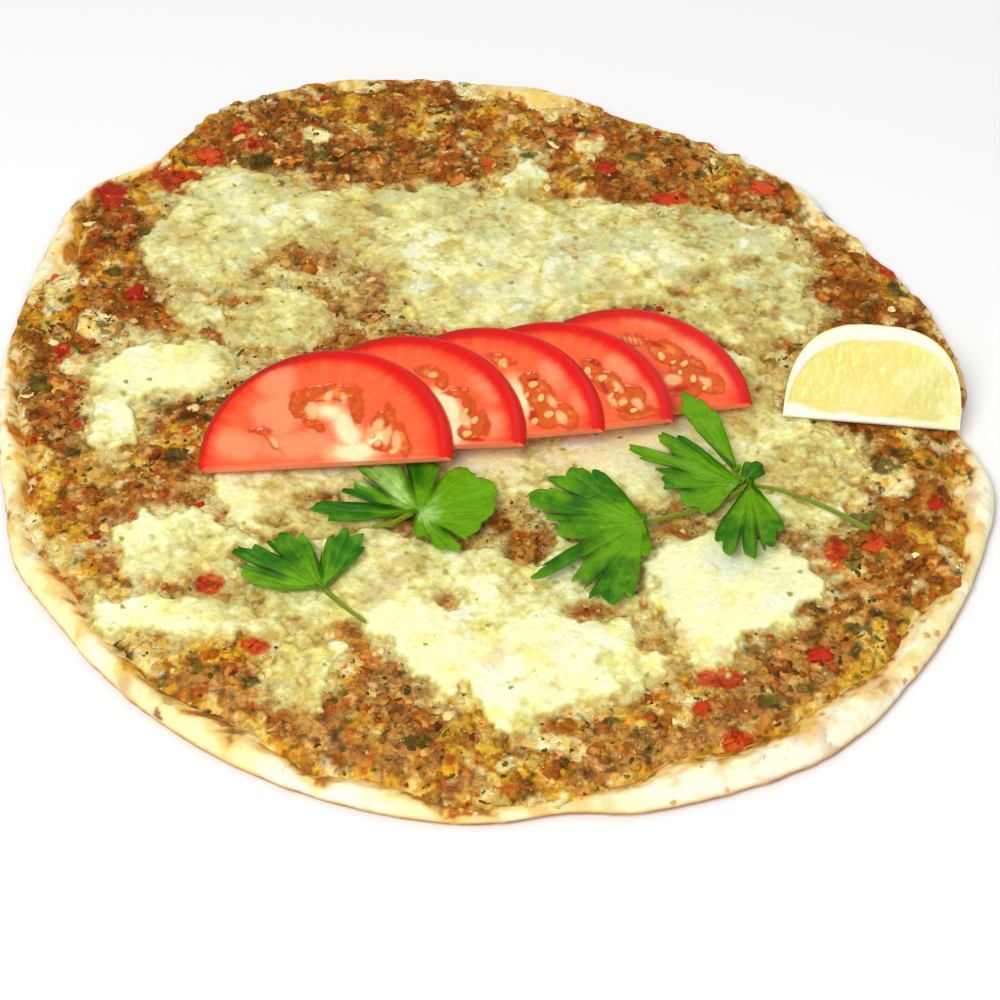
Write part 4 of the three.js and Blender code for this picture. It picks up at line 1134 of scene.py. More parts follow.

# Place of the middle of the upper face; turn in its own plane, rise to the right and tilt to the back in
# degrees. In the slice's own millimetres: gel, core, pale and dark ovals (x, y, half width, half depth, turn)
# and seeds (x, y, half length, direction). The dark ovals are painted shadow in the folds of the flesh.
tomatoSlices = (
    {"at": (-46.8, -35.8, 15.4), "turn": 0, "rise": 7, "tilt": 9,
     "gel": ((-7.4, 17, 2.9, 5.8, 8), (1, 20.6, 10.4, 3.3, 0), (9.8, 14.5, 2.3, 6.5, 6),
         (-2.5, 9.6, 5.2, 1.7, -38), (19.4, 9.5, 2.2, 6.4, 8), (16, 9, 2.6, 4.2, -20),
         (23.4, 2.4, 2.0, 6.2, 14), (17.5, 0.4, 3.6, 1.8, -10), (-19.4, 8.4, 4.2, 1.4, -12),
         (-14.2, 4.4, 1.2, 5.2, 35)),
     "light": ((-3.6, 14.6, 2.0, 3.6, 20), (15.8, 7.2, 1.9, 4.6, -18), (18.8, 4.6, 1.4, 4.2, -6),
         (21.4, 2, 1.4, 4, 4), (1.2, 19.4, 1.2, 2.4, 0), (5.6, 18.4, 1.0, 2.8, 12),
         (-13.6, 3.6, 0.9, 3.6, 35)),
     "core": ((1.6, 13.6, 4.4, 2.4, -28), (7.0, 7.2, 3.0, 7.4, 22), (9.5, -1.0, 6.5, 3.4, 0),
         (15.6, 3.4, 2.4, 3.6, -10)),
     "pale": ((-13, 14, 9, 9, 0), (-6, 2, 14, 6, 0), (-24, 4, 9, 6, 0), (-14, 24, 6, 8, 10)),
     "dark": (),
     "seeds": ((16.2, 1.8, 1.5, 70), (20.8, -1.4, 1.5, 30), (14.4, 4.6, 1.3, 100))},
    {"at": (-26.1, -28.4, 15.3), "turn": -1, "rise": 7, "tilt": 9,
     "gel": ((9.4, 22, 4.8, 2.3, -20), (13, 18.6, 2, 3.6, 10), (17.4, 14.4, 4.2, 1.7, 0),
         (21.2, 9.6, 1.9, 6.2, 20), (25.4, 2.6, 1.9, 5.2, 12), (22, 0.6, 4.2, 3.6, 10)),
     "light": ((10, 21.4, 1.6, 1.2, 0), (20.2, 4.8, 1.6, 3.4, 20)),
     "core": ((13.4, 8.4, 5.0, 7.6, 18), (16.6, 0.4, 5, 4.2, 0)),
     "pale": ((26, 16, 4, 7, 30), (28, 4, 3, 5, 10)),
     "dark": ((22.4, -2.6, 4.4, 0.8, 0),),
     "seeds": ((22.8, 4.3, 1.6, 60), (20.8, -0.4, 1.7, 20), (20.2, 7.8, 1.1, 70))},
    {"at": (-3.6, -23.8, 15.3), "turn": 2, "rise": 7, "tilt": 9,
     "gel": ((8.6, 23.2, 4.4, 2.4, -25), (16.5, 15.6, 3, 2.6, 0), (19.4, 9.4, 4.4, 6.6, 22),
         (22.8, 2.0, 6.4, 4.8, 10), (27.4, 0, 3.4, 4.4, 20)),
     "light": ((8.8, 22, 1.4, 2.0, 0), (23, 6.6, 1.2, 2.4, 20), (25.2, 1.2, 1.6, 3.0, 20)),
     "core": ((12.8, 8.6, 3.0, 7.6, 12),),
     "pale": ((24, 16, 4.5, 8, 28), (30, 6, 3, 6, 16)),
     "dark": ((17.2, 1.8, 1.6, 2.6, 0), (17.4, 15.4, 2.2, 0.9, 0)),
     "seeds": ((17.6, 13.4, 1.7, 20), (19.7, 8.4, 1.7, 80), (21.8, 2.2, 1.8, 20), (17.6, 0.2, 1.5, 60),
         (9.3, 21.4, 1.4, 110), (15.6, 9.8, 1.2, 70))},
    {"at": (16.5, -20.2, 15.1), "turn": 4, "rise": 7, "tilt": 9,
     "gel": ((15, 17.6, 4.2, 2.8, -35), (19.6, 11, 4.2, 6.2, 28), (25, 4.4, 5.6, 5.6, 30),
         (27, -1, 6.4, 2.6, 0)),
     "light": ((22.6, 9, 1.2, 2.6, 30), (27.6, 2.4, 1.6, 2.6, 30), (20.2, 4.6, 1.2, 3.0, 20)),
     "core": ((12.6, 11.5, 2.2, 4.6, 10),),
     "pale": ((24, 16.5, 4.5, 8, 32), (31, 6, 3, 6, 18)),
     "dark": ((16, 19.4, 3.4, 0.9, -38), (18.4, 9.6, 1.0, 2.8, 20)),
     "seeds": ((14.0, 16.2, 1.8, 80), (18.2, 13.0, 1.7, 20), (23.3, 3.4, 1.7, 20), (20.2, 6.4, 1.2, 60),
         (26.2, 0.2, 1.3, 10), (22.0, 8.4, 1.1, 50))},
    {"at": (40.4, -9.0, 11.9), "turn": 8, "rise": 2, "tilt": 8,
     "gel": ((6.6, 23.2, 4.4, 2.6, -20), (15, 17.4, 6.2, 4.2, -35), (20.4, 9.8, 5.6, 6.6, 20),
         (26.4, 4.2, 4.2, 4.8, 30), (19, 2.4, 5, 3, 0)),
     "light": ((3.4, 24.8, 0.5, 1.6, 12), (4.9, 24.2, 0.5, 1.7, 12), (6.4, 23.4, 0.5, 1.7, 12),
         (7.9, 22.5, 0.5, 1.6, 12), (15.2, 7.2, 3.0, 2.4, 10), (24.6, 5.6, 1.4, 2.6, 30)),
     "core": (),
     "pale": ((23.5, 17, 4.6, 8.5, 35), (10, 30, 9, 2.6, -18), (30, 6, 3, 6, 16)),
     "dark": ((16.6, 3.6, 3.8, 1.2, 8), (12, 21.4, 3.4, 0.8, -35)),
     "seeds": ((13.2, 16.4, 1.9, 100), (19.6, 12.7, 1.6, 40), (21.3, 6.8, 1.7, 80), (24.2, 3.0, 1.2, 50),
         (16.4, 13.6, 1.0, 20), (17.8, 9.6, 1.1, 80))},
)


def tomatoOutline():
    radius, past = tomato["radius"], tomato["past"]
    start = math.asin(past / radius)
    arc = np.linspace(-start, math.pi + start, tomato["arcPoints"])
    x, y = (radius - 0.5 * tomato["skew"]) * np.cos(arc), radius * np.sin(arc)
    cut = np.linspace(x[-1], x[0], tomato["cutPoints"] + 2)[1:-1]
    return np.concatenate([x, cut]), np.concatenate([y, np.full(len(cut), -past)])


# Depth in millimetres inside the ragged seed chambers of a slice
def gelAt(x, y, cut, seed):
    return ovalsAt(x, y, cut["gel"]) + 0.5 * noise(x, y, 2.6, seed) + 0.25 * noise(x, y, 1.1, seed + 9, 2)


def tomatoPaint(x, y, isSide, isLow, cut, seed):
    angle, away = compass(x, y), np.hypot(x, y)
    fromSkin = tomato["radius"] - 1.0 - away
    streak, blotch = noise(angle * 0.5, away * 0.1, 1.0, seed + 3), noise(x, y, 2.2, seed + 6)
    pale = smoothStep(ovalsAt(x, y, cut["pale"]) + 1.5 * noise(x, y, 6.0, seed + 4), -1.5, 3.5)
    core = ovalsAt(x, y, cut["core"]) + 0.5 * noise(x, y, 3.0, seed + 5)
    depth = gelAt(x, y, cut, seed)
    gel = smoothStep(depth, -0.4, 0.4)
    inner = layered(
        plain(tomato["gel"], x),
        (tomato["gelLight"], 0.7 * smoothStep(blotch, 0.15, 0.9)),
        (tomato["gelDeep"], 0.8 * smoothStep(-blotch, 0.3, 0.9)))
    onCut = y <= -tomato["past"] + 0.02
    band = 1.2 + hillsAt(angle, tomato["skinBand"])
    skin = 1 - smoothStep(fromSkin + 0.2 * streak, band * 0.45, band * 1.35)
    skin = np.maximum(skin, isSide * ~onCut)
    # A dark line at the skin's edge: partly the skin itself, and towards the left painted shade
    skinLineAndShade = (1 - smoothStep(fromSkin, 0.1, 1.0)) * (0.08 + 0.75 * smoothStep(angle, 70, 120))
    paint = layered(
        plain(tomato["flesh"], x),
        (tomato["fleshOuter"], 0.9 * (1 - smoothStep(fromSkin + 1.2 * streak, 1.0, 7.5))),
        (tomato["fleshPale"], 0.85 * pale),
        (tomato["fleshPale"], 0.18 * smoothStep(streak, 0.1, 1.0) * smoothStep(fromSkin, 3, 6)),
        (tomato["corePale"], 0.8 * smoothStep(core, -2.4, 0.6)),
        (tomato["core"], smoothStep(core, -0.4, 1.4)),
        (tomato["gelEdge"], gel),
        (inner, smoothStep(depth, 0.5, 1.2)),
        (tomato["corePale"], 0.85 * smoothStep(ovalsAt(x, y, cut["light"]) + 0.25 * blotch, -0.2, 0.7)),
        # painted shadow in the dark ovals, in the folds of the flesh
        (tomato["paintedShadeRed"], 0.85 * smoothStep(ovalsAt(x, y, cut["dark"]) + 0.3 * blotch, -0.2, 0.5)),
        (tomato["skin"], skin),
        # painted shade: the skin darker towards the left
        (tomato["paintedShadeRed"], 0.55 * skin * smoothStep(angle, 60, 110)),
        (tomato["skinEdgeAndShade"], skinLineAndShade * (1 - isSide * 0.5)),
        (tomato["fleshPale"], 0.75 * isSide * onCut),
        (tomato["fleshOuter"], 0.6 * isLow))
    return paint, np.clip(0.35 + 0.6 * gel + 0.3 * skin - 0.2 * pale - 0.5 * isSide, 0, 1)


def buildTomato(index, cut):
    radius, skew, thickness = tomato["radius"], tomato["skew"], tomato["thickness"]
    seed, hubY = 200 + 10 * index, tomato["hubShare"] * tomato["radius"]
    outlineX, outlineY = tomatoOutline()
    shares = np.linspace(1, 0, tomato["rings"] + 1)[:-1, None] ** 0.8
    x, y = shares * outlineX, hubY + shares * (outlineY - hubY)
    fromEdge, fromCut = radius - np.hypot(x * radius / (radius - 0.5 * skew), y), y + tomato["past"]
    gel = gelAt(x, y, cut, seed)
    z = 0.05 * noise(x, y, 2.2, seed + 1) - tomato["gelDepth"] * smoothStep(gel, 0.0, 0.9)
    z = z - tomato["bevel"] * (1 - smoothStep(fromEdge, 0, 1.0))
    z = z - tomato["cutBevel"] * (1 - smoothStep(fromCut, 0, 0.6))
    z = z + tomato["gelSwell"] * smoothStep(gel, 0.7, 1.6) * smoothStep(noise(x, y, 2.4, seed + 2), -0.3, 0.6)

    steps = np.arange(1, tomato["sideRings"] + 1)[:, None] / (tomato["sideRings"] + 1)
    onArc = np.arange(len(outlineX)) < tomato["arcPoints"]
    bulge = np.where(onArc, 0.25, 0.05) * np.sin(np.pi * steps)
    turn = np.arctan2(outlineY, outlineX)
    sideX = outlineX + skew * (1 - steps) + bulge * np.cos(turn)
    sideY = outlineY + bulge * np.sin(turn) * onArc
    sideZ = thickness * (steps - 1) + z[0] * steps
    lower = np.linspace(0, 1, tomato["lowerRings"] + 1)[1:, None]
    lowX, lowY = skew + lower * outlineX, hubY + lower * (outlineY - hubY)
    table = [np.concatenate(levels).ravel() for levels in
             ((lowX, sideX, x), (lowY, sideY, y), (np.full(lowX.shape, -thickness), sideZ, z))]
    points = np.concatenate([np.stack(table, 1), [[skew, hubY, -thickness], [0, hubY, z[-1].mean()]]])

    rings = len(lower) + len(steps) + len(shares)
    level = np.append(np.repeat(np.arange(rings), len(outlineX)), [0, rings - 1])
    isLow = (level < len(lower)).astype(float)
    isSide = (level < len(lower) + len(steps)) - isLow
    paint, wet = tomatoPaint(points[:, 0], points[:, 1], isSide, isLow, cut, seed)
    faces = tubeFaces(rings, len(outlineX))
    points = moved(points, slicePlace(cut))
    piece = meshPiece(f"tomatoSlice_{index}", points, faces, materials["tomato"], paint, {"wet": wet})
    return settle(piece, "tomato", f"tomato_slice_{index}")


def slicePlace(cut):
    placed = Matrix.Translation(cut["at"])
    for key, sign, axis in (("rise", -1, "Y"), ("tilt", 1, "X"), ("turn", 1, "Z")):
        placed = placed @ Matrix.Rotation(math.radians(sign * cut[key]), 4, axis)
    return np.array(placed)


# Teardrop seeds that lie half sunk in the gel
def buildSeeds():
    around, along = tomato["seedSides"], tomato["seedSteps"]
    t = np.linspace(-1, 1, along + 2)[1:-1]
    turn = np.linspace(0, 2 * np.pi, around, endpoint=False)
    parts = []
    for index, cut in enumerate(tomatoSlices):
        for number, (atX, atY, length, direction) in enumerate(cut["seeds"]):
            value = float(latticeValue(np.array(index), np.array(number), 5))
            girth = 0.72 * length * (0.85 + 0.3 * value)
            wide = girth * np.sqrt(1 - t ** 2) * (1 - 0.25 * t)
            x = np.append(np.repeat(length * t, around), [-length, length])
            y = np.append(np.outer(wide, np.cos(turn)), [0, 0])
            z = np.append(np.outer(0.45 * wide, np.sin(turn)), [0, 0])
            u, v = turned(x, y, math.radians(direction))
            flat = np.stack([u + atX, v + atY, z - tomato["seedSunk"]], 1)
            dark = 0.8 * smoothStep(np.hypot(x / length, y / girth), 0.6, 1.0) + 0.25 * value
            paint = over(plain(tomato["seed"], x), tomato["seedDark"], np.clip(dark, 0, 1))
            parts.append((moved(flat, slicePlace(cut)), tubeFaces(along, around), paint))
    points, faces, paint = joined(parts)
    piece = meshPiece("tomatoSeeds", points, faces, materials["seed"], paint)
    fixNormals(piece)
    return settle(piece, "tomato")


def fixNormals(piece):
    work = bmesh.new()
    work.from_mesh(piece.data)
    bmesh.ops.recalc_face_normals(work, faces=work.faces)
    work.to_mesh(piece.data)
    work.free()


print("tomato")
for number, cut in enumerate(tomatoSlices, 1):
    buildTomato(number, cut)
buildSeeds()


# Lemon wedge, lying on one cut face with the other turned up to the front

lemon = {
    "at": (113.2, -9.2, 7.3), "turn": -4, "halfLength": 26.0, "radius": 29.5, "bluntness": 2.7,
    "wedgeAngle": 46, "coreHeight": 3.0, "pith": 4.5, "pulpDepth": 0.5, "stations": 150, "peelSteps": 26,
    "faceSteps": 64, "lowerSteps": 12, "coreSteps": 5, "pulp": (238, 224, 130), "pulpPale": (245, 239, 170),
    "pulpDeep": (234, 218, 108), "peach": (247, 226, 152), "pithColour": (253, 252, 228),
    "pithWarm": (248, 242, 186), "membrane": (248, 244, 190), "peel": (248, 220, 60),
    "peelPale": (251, 239, 132), "glassy": (216, 206, 108), "peachSpots": ((-2, 6, 12, 5),),
}


# Gaps between the long juice cells of the pulp, and each cell's own value
def juiceCells(x, outs):
    warp = 0.8 * noise(x, outs, 5.0, 313)
    return lumps((x + warp) * 0.42, (outs + warp) * 0.12, 1.0, 311)[1:]


def lemonPaint(x, outs, kind, reach, inner):
    onFace, onPeel, onCore = [np.isin(kind, kinds).astype(float) for kinds in ((0, 2), (1,), (3,))]
    side, bend = x / lemon["halfLength"], noise(x, outs, 4.0, 321)
    foot = 4.0 - 1.5 * smoothStep(0.86 - np.abs(side), 0, 0.1)
    pulp = smoothStep(inner - outs + 0.5 * bend, -0.4, 1.2) * smoothStep(outs + 0.3 * bend, foot, foot + 0.8)
    down = onCore * smoothStep(outs - 1.3 - 1.6 * smoothStep(-side, 0.5, 0.9) + 0.3 * bend, 0.0, 0.6)
    pulp = np.maximum(onFace * pulp, down * smoothStep(0.9 - np.abs(side), 0, 0.1))
    gap, own = juiceCells(x, outs)
    slant = smoothStep(x - 6 - 0.75 * (outs - 4), -1.0, 2.0) * (1 - smoothStep(outs, 14, 22))
    body = layered(
        plain(lemon["pulp"], x),
        (lemon["pulpPale"], 0.35 * smoothStep(own, 0.5, 1.0)),
        (lemon["pulpPale"], 0.8 * smoothStep(side + 0.25 * bend, 0.15, 0.75)),
        (lemon["pulpDeep"], 0.6 * smoothStep(noise(x, outs, 12.0, 322) - 0.5 * side, 0.2, 1.0)),
        (lemon["peach"], 0.55 * spotsAt(x, outs, lemon["peachSpots"], 0.6)),
        (lemon["membrane"], 0.12 * (1 - smoothStep(gap, 0.0, 0.2))),
        (lemon["membrane"], 0.5 * smoothStep(noise(x * 1.6, outs * 0.7, 2.4, 324), 0.65, 1.0)),
        (lemon["glassy"], 0.6 * slant * smoothStep(bend, -0.8, 0.4)))
    nearPeel = onFace * (1 - smoothStep(reach - outs, 0.2, 1.3 + 1.4 * smoothStep(side, 0.4, 0.9)))
    paint = layered(
        plain(lemon["pithColour"], x),
        (lemon["pithWarm"], 0.5 * onFace * smoothStep(noise(x, outs, 7.0, 325), -0.2, 0.8)),
        (lemon["pulpPale"], 0.7 * onCore * smoothStep(side, 0.1, 0.8)),
        (body, pulp),
        (lemon["peel"], onPeel),
        (lemon["peelPale"], 0.6 * onPeel * smoothStep(noise(x, outs, 6.0, 323), -0.3, 0.8)),
        (lemon["peelPale"], 0.8 * nearPeel))
    return paint, pulp


# The columns run round the section. Each has y, z, its distance outwards and its kind: 0 on the lower cut
# face, 1 on the peel, 2 on the upper cut face, 3 on the core.
def buildLemon():
    tilt, count, blunt = math.radians(lemon["wedgeAngle"]), lemon["stations"], lemon["bluntness"]
    along = -np.cos(np.pi * (np.arange(count) + 0.35) / (count - 1 + 0.7))
    x, reach = lemon["halfLength"] * along, lemon["radius"] * (1 - np.abs(along) ** blunt) ** (1 / blunt)
    low = np.minimum(lemon["coreHeight"], 0.3 * reach)
    core, inner = low / math.sin(tilt), np.maximum(0.35 * reach, reach - lemon["pith"] * (1 - 0.3 * along))
    columns = []
    for t in np.arange(lemon["lowerSteps"]) / lemon["lowerSteps"]:
        columns.append((reach * t, 0 * reach, reach * t, 0))
    last = lemon["peelSteps"]
    for j in range(last + 1):
        angle = tilt * j / last
        skin = reach - 0.15 + 0.12 * noise(x, reach * angle, 1.6, 301, 2)
        skin = skin * (1 - 0.012 * (smoothStep(j, 3, 0) + smoothStep(j, last - 3, last)))
        columns.append((skin * math.cos(angle), skin * math.sin(angle), reach * (1 + angle), 1))
    for t in (np.arange(lemon["faceSteps"]) + 1) / (lemon["faceSteps"] + 1):
        out = reach * (1 - t) + core * t
        intoPulp = smoothStep(inner - out, -0.3, 1.0) * smoothStep(out, core + 0.2, core + 2.0)
        gap, own = juiceCells(x, out)
        deep = lemon["pulpDepth"] * smoothStep(reach, 0.4 * lemon["radius"], 0.7 * lemon["radius"])
        swell = 0.12 * smoothStep(gap, 0, 0.4) * (0.5 + 0.5 * own)
        dip = (deep - swell) * intoPulp + 0.08 * noise(x, out, 2.5, 312)
        columns.append((*turned(out, -dip, tilt), out, 2))
    for t in np.arange(lemon["coreSteps"]) / lemon["coreSteps"]:
        width = low / math.tan(tilt) * (1 - t)
        columns.append((width, low * (1 - t), width, 3))

    y, z, outs = [np.stack([column[k] for column in columns], 1) for k in range(3)]
    kind = np.broadcast_to([column[3] for column in columns], y.shape)
    x, reach, inner = [np.broadcast_to(values[:, None], y.shape) for values in (x, reach, inner)]
    table = np.stack([x, y, z], 2)
    points = np.concatenate([table.reshape(-1, 3), [table[0].mean(0), table[-1].mean(0)]])
    paint, pulp = lemonPaint(x, outs, kind, reach, inner)
    paint = np.concatenate([paint.reshape(-1, 3), plain(lemon["peel"], (0, 0))])
    placed = np.array(Matrix.Translation(lemon["at"]) @ Matrix.Rotation(math.radians(lemon["turn"]), 4, "Z"))
    piece = meshPiece("lemonWedge", moved(points, placed), tubeFaces(count, len(columns)), materials["lemon"],
                      paint, {"wet": np.append(0.25 + 0.7 * pulp, [0.2, 0.2])})
    return settle(piece, "lemon", "lemon_wedge")


print("lemon")
buildLemon()


# Parsley: leaves that spread from their hubs in lobes, and round stems

parsley = {
    "thickness": 0.35, "lift": 0.12, "tipRise": 2.2, "wave": 0.5, "waveLength": 13, "spokes": 440,
    "rings": 26, "stemRadius": 0.85, "stemSides": 12, "stemSteps": 14, "wedge": 0.56, "toothSide": 0.8,
    "toothLength": 0.86, "toothWidth": 0.5, "serration": 0.035, "veinDepth": 0.25, "veinWidth": 0.5,
    "curl": 0.5, "shadow": (4, 34, 0), "dark": (12, 72, 0), "green": (40, 108, 0), "light": (100, 156, 0),
    # The pale green is a painted whitish sheen, reached by the lightest lobes.
    "pale": (172, 208, 118), "vein": (120, 172, 50), "stem": (140, 156, 36), "stemDark": (92, 112, 14),
}

# Leaves: hub, lobes as tip, half width and lightness from 0 to 1, and slits by their inner end and half
# width.
# The lightness is each lobe's own green, and on the palest lobes a painted whitish sheen.
parsleyPieces = {
    "parsley_left": {
        "leaves": (
            ((-43, -82, 8.4), ((-69, -71, 2.8, 0.24), (-63, -67, 3.0, 0.28), (-66, -79, 2.2, 0.4),
             (-56, -64, 2.6, 0.34), (-50, -63, 2.4, 0.4), (-42, -65, 2.0, 0.3), (-38, -62, 2.0, 0.3),
             (-34, -63, 2.0, 0.36)),
             ((-55, -72.5, 1.0), (-44.6, -74, 1.9), (-57, -77.5, 0.7))),),
        "stems": (((-45, -80, 8.9), (-38, -87, 8.8), (-31, -93, 8.6)),)},
    "parsley_middle": {
        "leaves": (
            ((-18, -53, 9), ((-48, -54, 2.8, 0.2), (-41, -48, 2.6, 0.25), (-38, -38, 3.2, 0.85),
             (-31, -36, 3.2, 1.0), (-22, -30, 2.8, 0.12), (-15, -35, 2.8, 0.2), (-4, -38, 6, 0.6),
             (3, -44, 6, 0.62), (3, -52, 6, 0.68), (-1, -60, 4.5, 0.6), (-5, -68, 3.6, 0.62),
             (-12, -64, 3.6, 0.65)),
             ((-26, -52, 1.4), (-21, -44, 1.2), (-14.2, -44, 1.3), (-11, -60, 1.0), (-30, -44.5, 0.9),
             (-28, -47, 0.6))),),
        "stems": (((-20, -53, 9.4), (-26, -57, 9), (-31, -58, 8.6)),)},
    "parsley_sprig": {
        "leaves": (
            ((45, -54, 9.6), ((24, -37, 4, 0.36), (18, -41, 4, 0.42), (13, -48, 4, 0.3),
             (17, -54, 3.4, 0.4), (21, -61, 3.6, 0.42), (14, -80, 2.8, 0.34), (23, -79, 3, 0.42),
             (29, -85, 3, 0.36), (35, -86, 3.4, 0.3), (40, -70, 3.6, 0.3)),
             ((30, -69, 2.4), (28, -63.5, 2.0), (27, -46.5, 0.8), (24, -54, 0.7), (34, -74, 0.8))),
            ((73, -39, 10.2), ((41, -27, 2, 0.5), (50, -22, 2.8, 0.42), (48, -32, 5, 0.38),
             (51, -41, 5, 0.36), (56, -48, 4, 0.45), (79, -32, 2.2, 0.2)),
             ((54, -29.5, 1.1), (66, -29, 0.9), (57, -36, 0.7), (58, -43, 0.7))),
            ((75.5, -40, 11), ((69, -69, 3.6, 0.42), (75, -70, 4, 0.36), (79, -63, 4, 0.26)),
             ((72.4, -60, 0.9), (76.6, -58, 0.8))),
            ((72, -36, 12.4), ((57, -6, 2.4, 0.52), (62, -10, 2, 0.56)),
             ()),),
        "stems": (((109, -53, 8.9), (97, -46, 10), (85, -41, 10.8), (76, -39, 11.2), (71, -35, 12.4)),
            ((76, -40, 11), (62, -48, 10.4), (52, -52, 10.2), (43, -55, 10)))},
}


# Direction and distance of a point from the hub
def fromHub(hub, x, y):
    return math.atan2(y - hub[1], x - hub[0]), math.hypot(x - hub[0], y - hub[1])


def turnFrom(angle, direction):
    return (angle - direction + math.pi) % (2 * math.pi) - math.pi


# Distance from the hub to the edge of a lobe, a wedge that is widest near its blunt tip
def lobeReach(angle, direction, length, halfWidth):
    share = np.clip(np.abs(turnFrom(angle, direction)) * parsley["wedge"] * length / halfWidth, 0, 1)
    return length * np.sqrt(1 - share ** 2.6)


# Distance from the hub to the leaf's edge: lobes with a shorter tooth at each side of the tip, then slits
def leafReach(angle, hub, lobes, slits):
    reach = np.full(len(angle), 1.2)
    for tipX, tipY, halfWidth, _ in lobes:
        direction, length = fromHub(hub, tipX, tipY)
        side = parsley["toothSide"] * halfWidth / length * 2
        tooth = parsley["toothLength"] * length, parsley["toothWidth"] * halfWidth
        for turn, size in ((0, (length, halfWidth)), (-side, tooth), (side, tooth)):
            reach = np.maximum(reach, lobeReach(angle, direction + turn, *size))
    reach = reach * (1 + parsley["serration"] * noise(angle * reach / 2.2, reach * 0 + hub[0], 1.0, 405, 2))
    for endX, endY, wide in slits:
        direction, inner = fromHub(hub, endX, endY)
        opening = np.exp(-(turnFrom(angle, direction) * np.maximum(reach, inner) / wide) ** 2)
        reach = reach + (np.minimum(reach, inner) - reach) * opening
    return reach


# Depth of the creases along the veins, lightness, fold across each lobe, and shade inside the slits
def leafMarks(x, y, hub, lobes, slits):
    crease, light, fold, shade, weight = [np.full(x.shape, start) for start in (0.0, 0.0, 0.0, 0.0, 1e-6)]
    for tipX, tipY, halfWidth, lightness in lobes:
        direction, length = fromHub(hub, tipX, tipY)
        s, d = turned(x - hub[0], y - hub[1], -direction)
        onRib = np.exp(-(d / parsley["veinWidth"]) ** 2) * (s > 0) * smoothStep(length - s, 0.5, 4)
        fishbone = np.exp(-((((s - 1.6 * np.abs(d)) % 3.4) - 1.7) / 0.32) ** 2)
        sideVein = fishbone * (np.abs(d) < halfWidth) * (s > 0.2 * length)
        crease = np.maximum(crease, np.maximum(onRib, 0.45 * sideVein))
        near = np.exp(-(d / halfWidth) ** 2) * smoothStep(s, -1, 3)
        light += near * lightness
        fold += near * d / halfWidth * smoothStep(s, 3, 9)
        weight += near
    for endX, endY, _ in slits:
        direction, inner = fromHub(hub, endX, endY)
        s, d = turned(x - hub[0], y - hub[1], -direction)
        shade = np.maximum(shade, np.exp(-(d / 0.8) ** 2) * smoothStep(s, inner - 5, inner + 1))
    return crease, light / weight, np.clip(fold / weight, -1.2, 1.2), shade


def buildLeaf(hub, lobes, slits):
    hubX, hubY, hubZ = hub
    count, rings = parsley["spokes"], parsley["rings"]
    angle = np.linspace(-math.pi, math.pi, count, endpoint=False)
    reach = leafReach(angle, hub, lobes, slits)
    shares = np.linspace(0, 1, rings + 1)[1:]
    x, y = hubX + np.outer(shares, reach * np.cos(angle)), hubY + np.outer(shares, reach * np.sin(angle))
    marks = leafMarks(x, y, hub, lobes, slits)
    crease, _, fold, _ = marks
    rise = parsley["tipRise"] * shares[:, None] ** 2
    z = hubZ + rise + parsley["wave"] * ripple(x, y, parsley["waveLength"]) + 0.10 * noise(x, y, 2.2, 401)
    z = z - parsley["veinDepth"] * crease - parsley["curl"] * fold ** 2 * (rise > 0.2)
    middle = [[hubX, hubY, hubZ + parsley["wave"] * float(ripple(hubX, hubY, parsley["waveLength"]))]]
    sheet = np.concatenate([middle, np.stack([x, y, z], 2).reshape(-1, 3)]) + [0, 0, parsley["lift"]]

    layer, rim = len(sheet), 1 + (rings - 1) * count
    ring, spoke = pairsOf(range(rings - 1), range(count))
    near, far = 1 + ring * count + spoke, 1 + ring * count + (spoke + 1) % count
    quads = np.stack([near, near + count, far + count, far], 1)
    k = np.arange(count)
    after = (k + 1) % count
    fan = np.stack([0 * k, 1 + k, 1 + after], 1)
    walls = np.stack([rim + k, rim + k + layer, rim + after + layer, rim + after], 1)
    quads = np.concatenate([quads, quads[:, ::-1] + layer, walls])
    fans = np.concatenate([fan, fan[:, ::-1] + layer])

    crease, light, fold, shade = [np.append(start, mark) for start, mark in zip((0.5, 0.6, 0, 0), marks)]
    px, py = sheet[:, 0], sheet[:, 1]
    # Lighter towards the hub; by its fold each lobe is painted lighter on one side and darker on the other:
    # painted light and shade.
    tone = light + 0.34 * (1 - smoothStep(np.append(0, np.repeat(shares, count)), 0.0, 0.6)) + 0.10 * fold
    tone = tone + 0.14 * noise(px, py, 5.0, 402) + 0.08 * noise(px, py, 1.6, 403)
    stops = [parsley[key] for key in ("dark", "green", "light", "light", "pale")]
    paint = layered(ramp(np.clip(tone, 0, 1), stops), (parsley["vein"], crease * 0.2),
                    (parsley["shadow"], shade * 0.8))
    paint = np.concatenate([paint, over(paint, parsley["light"], np.full(layer, 0.35))])
    return np.concatenate([sheet + [0, 0, parsley["thickness"]], sheet]), [quads, fans], paint


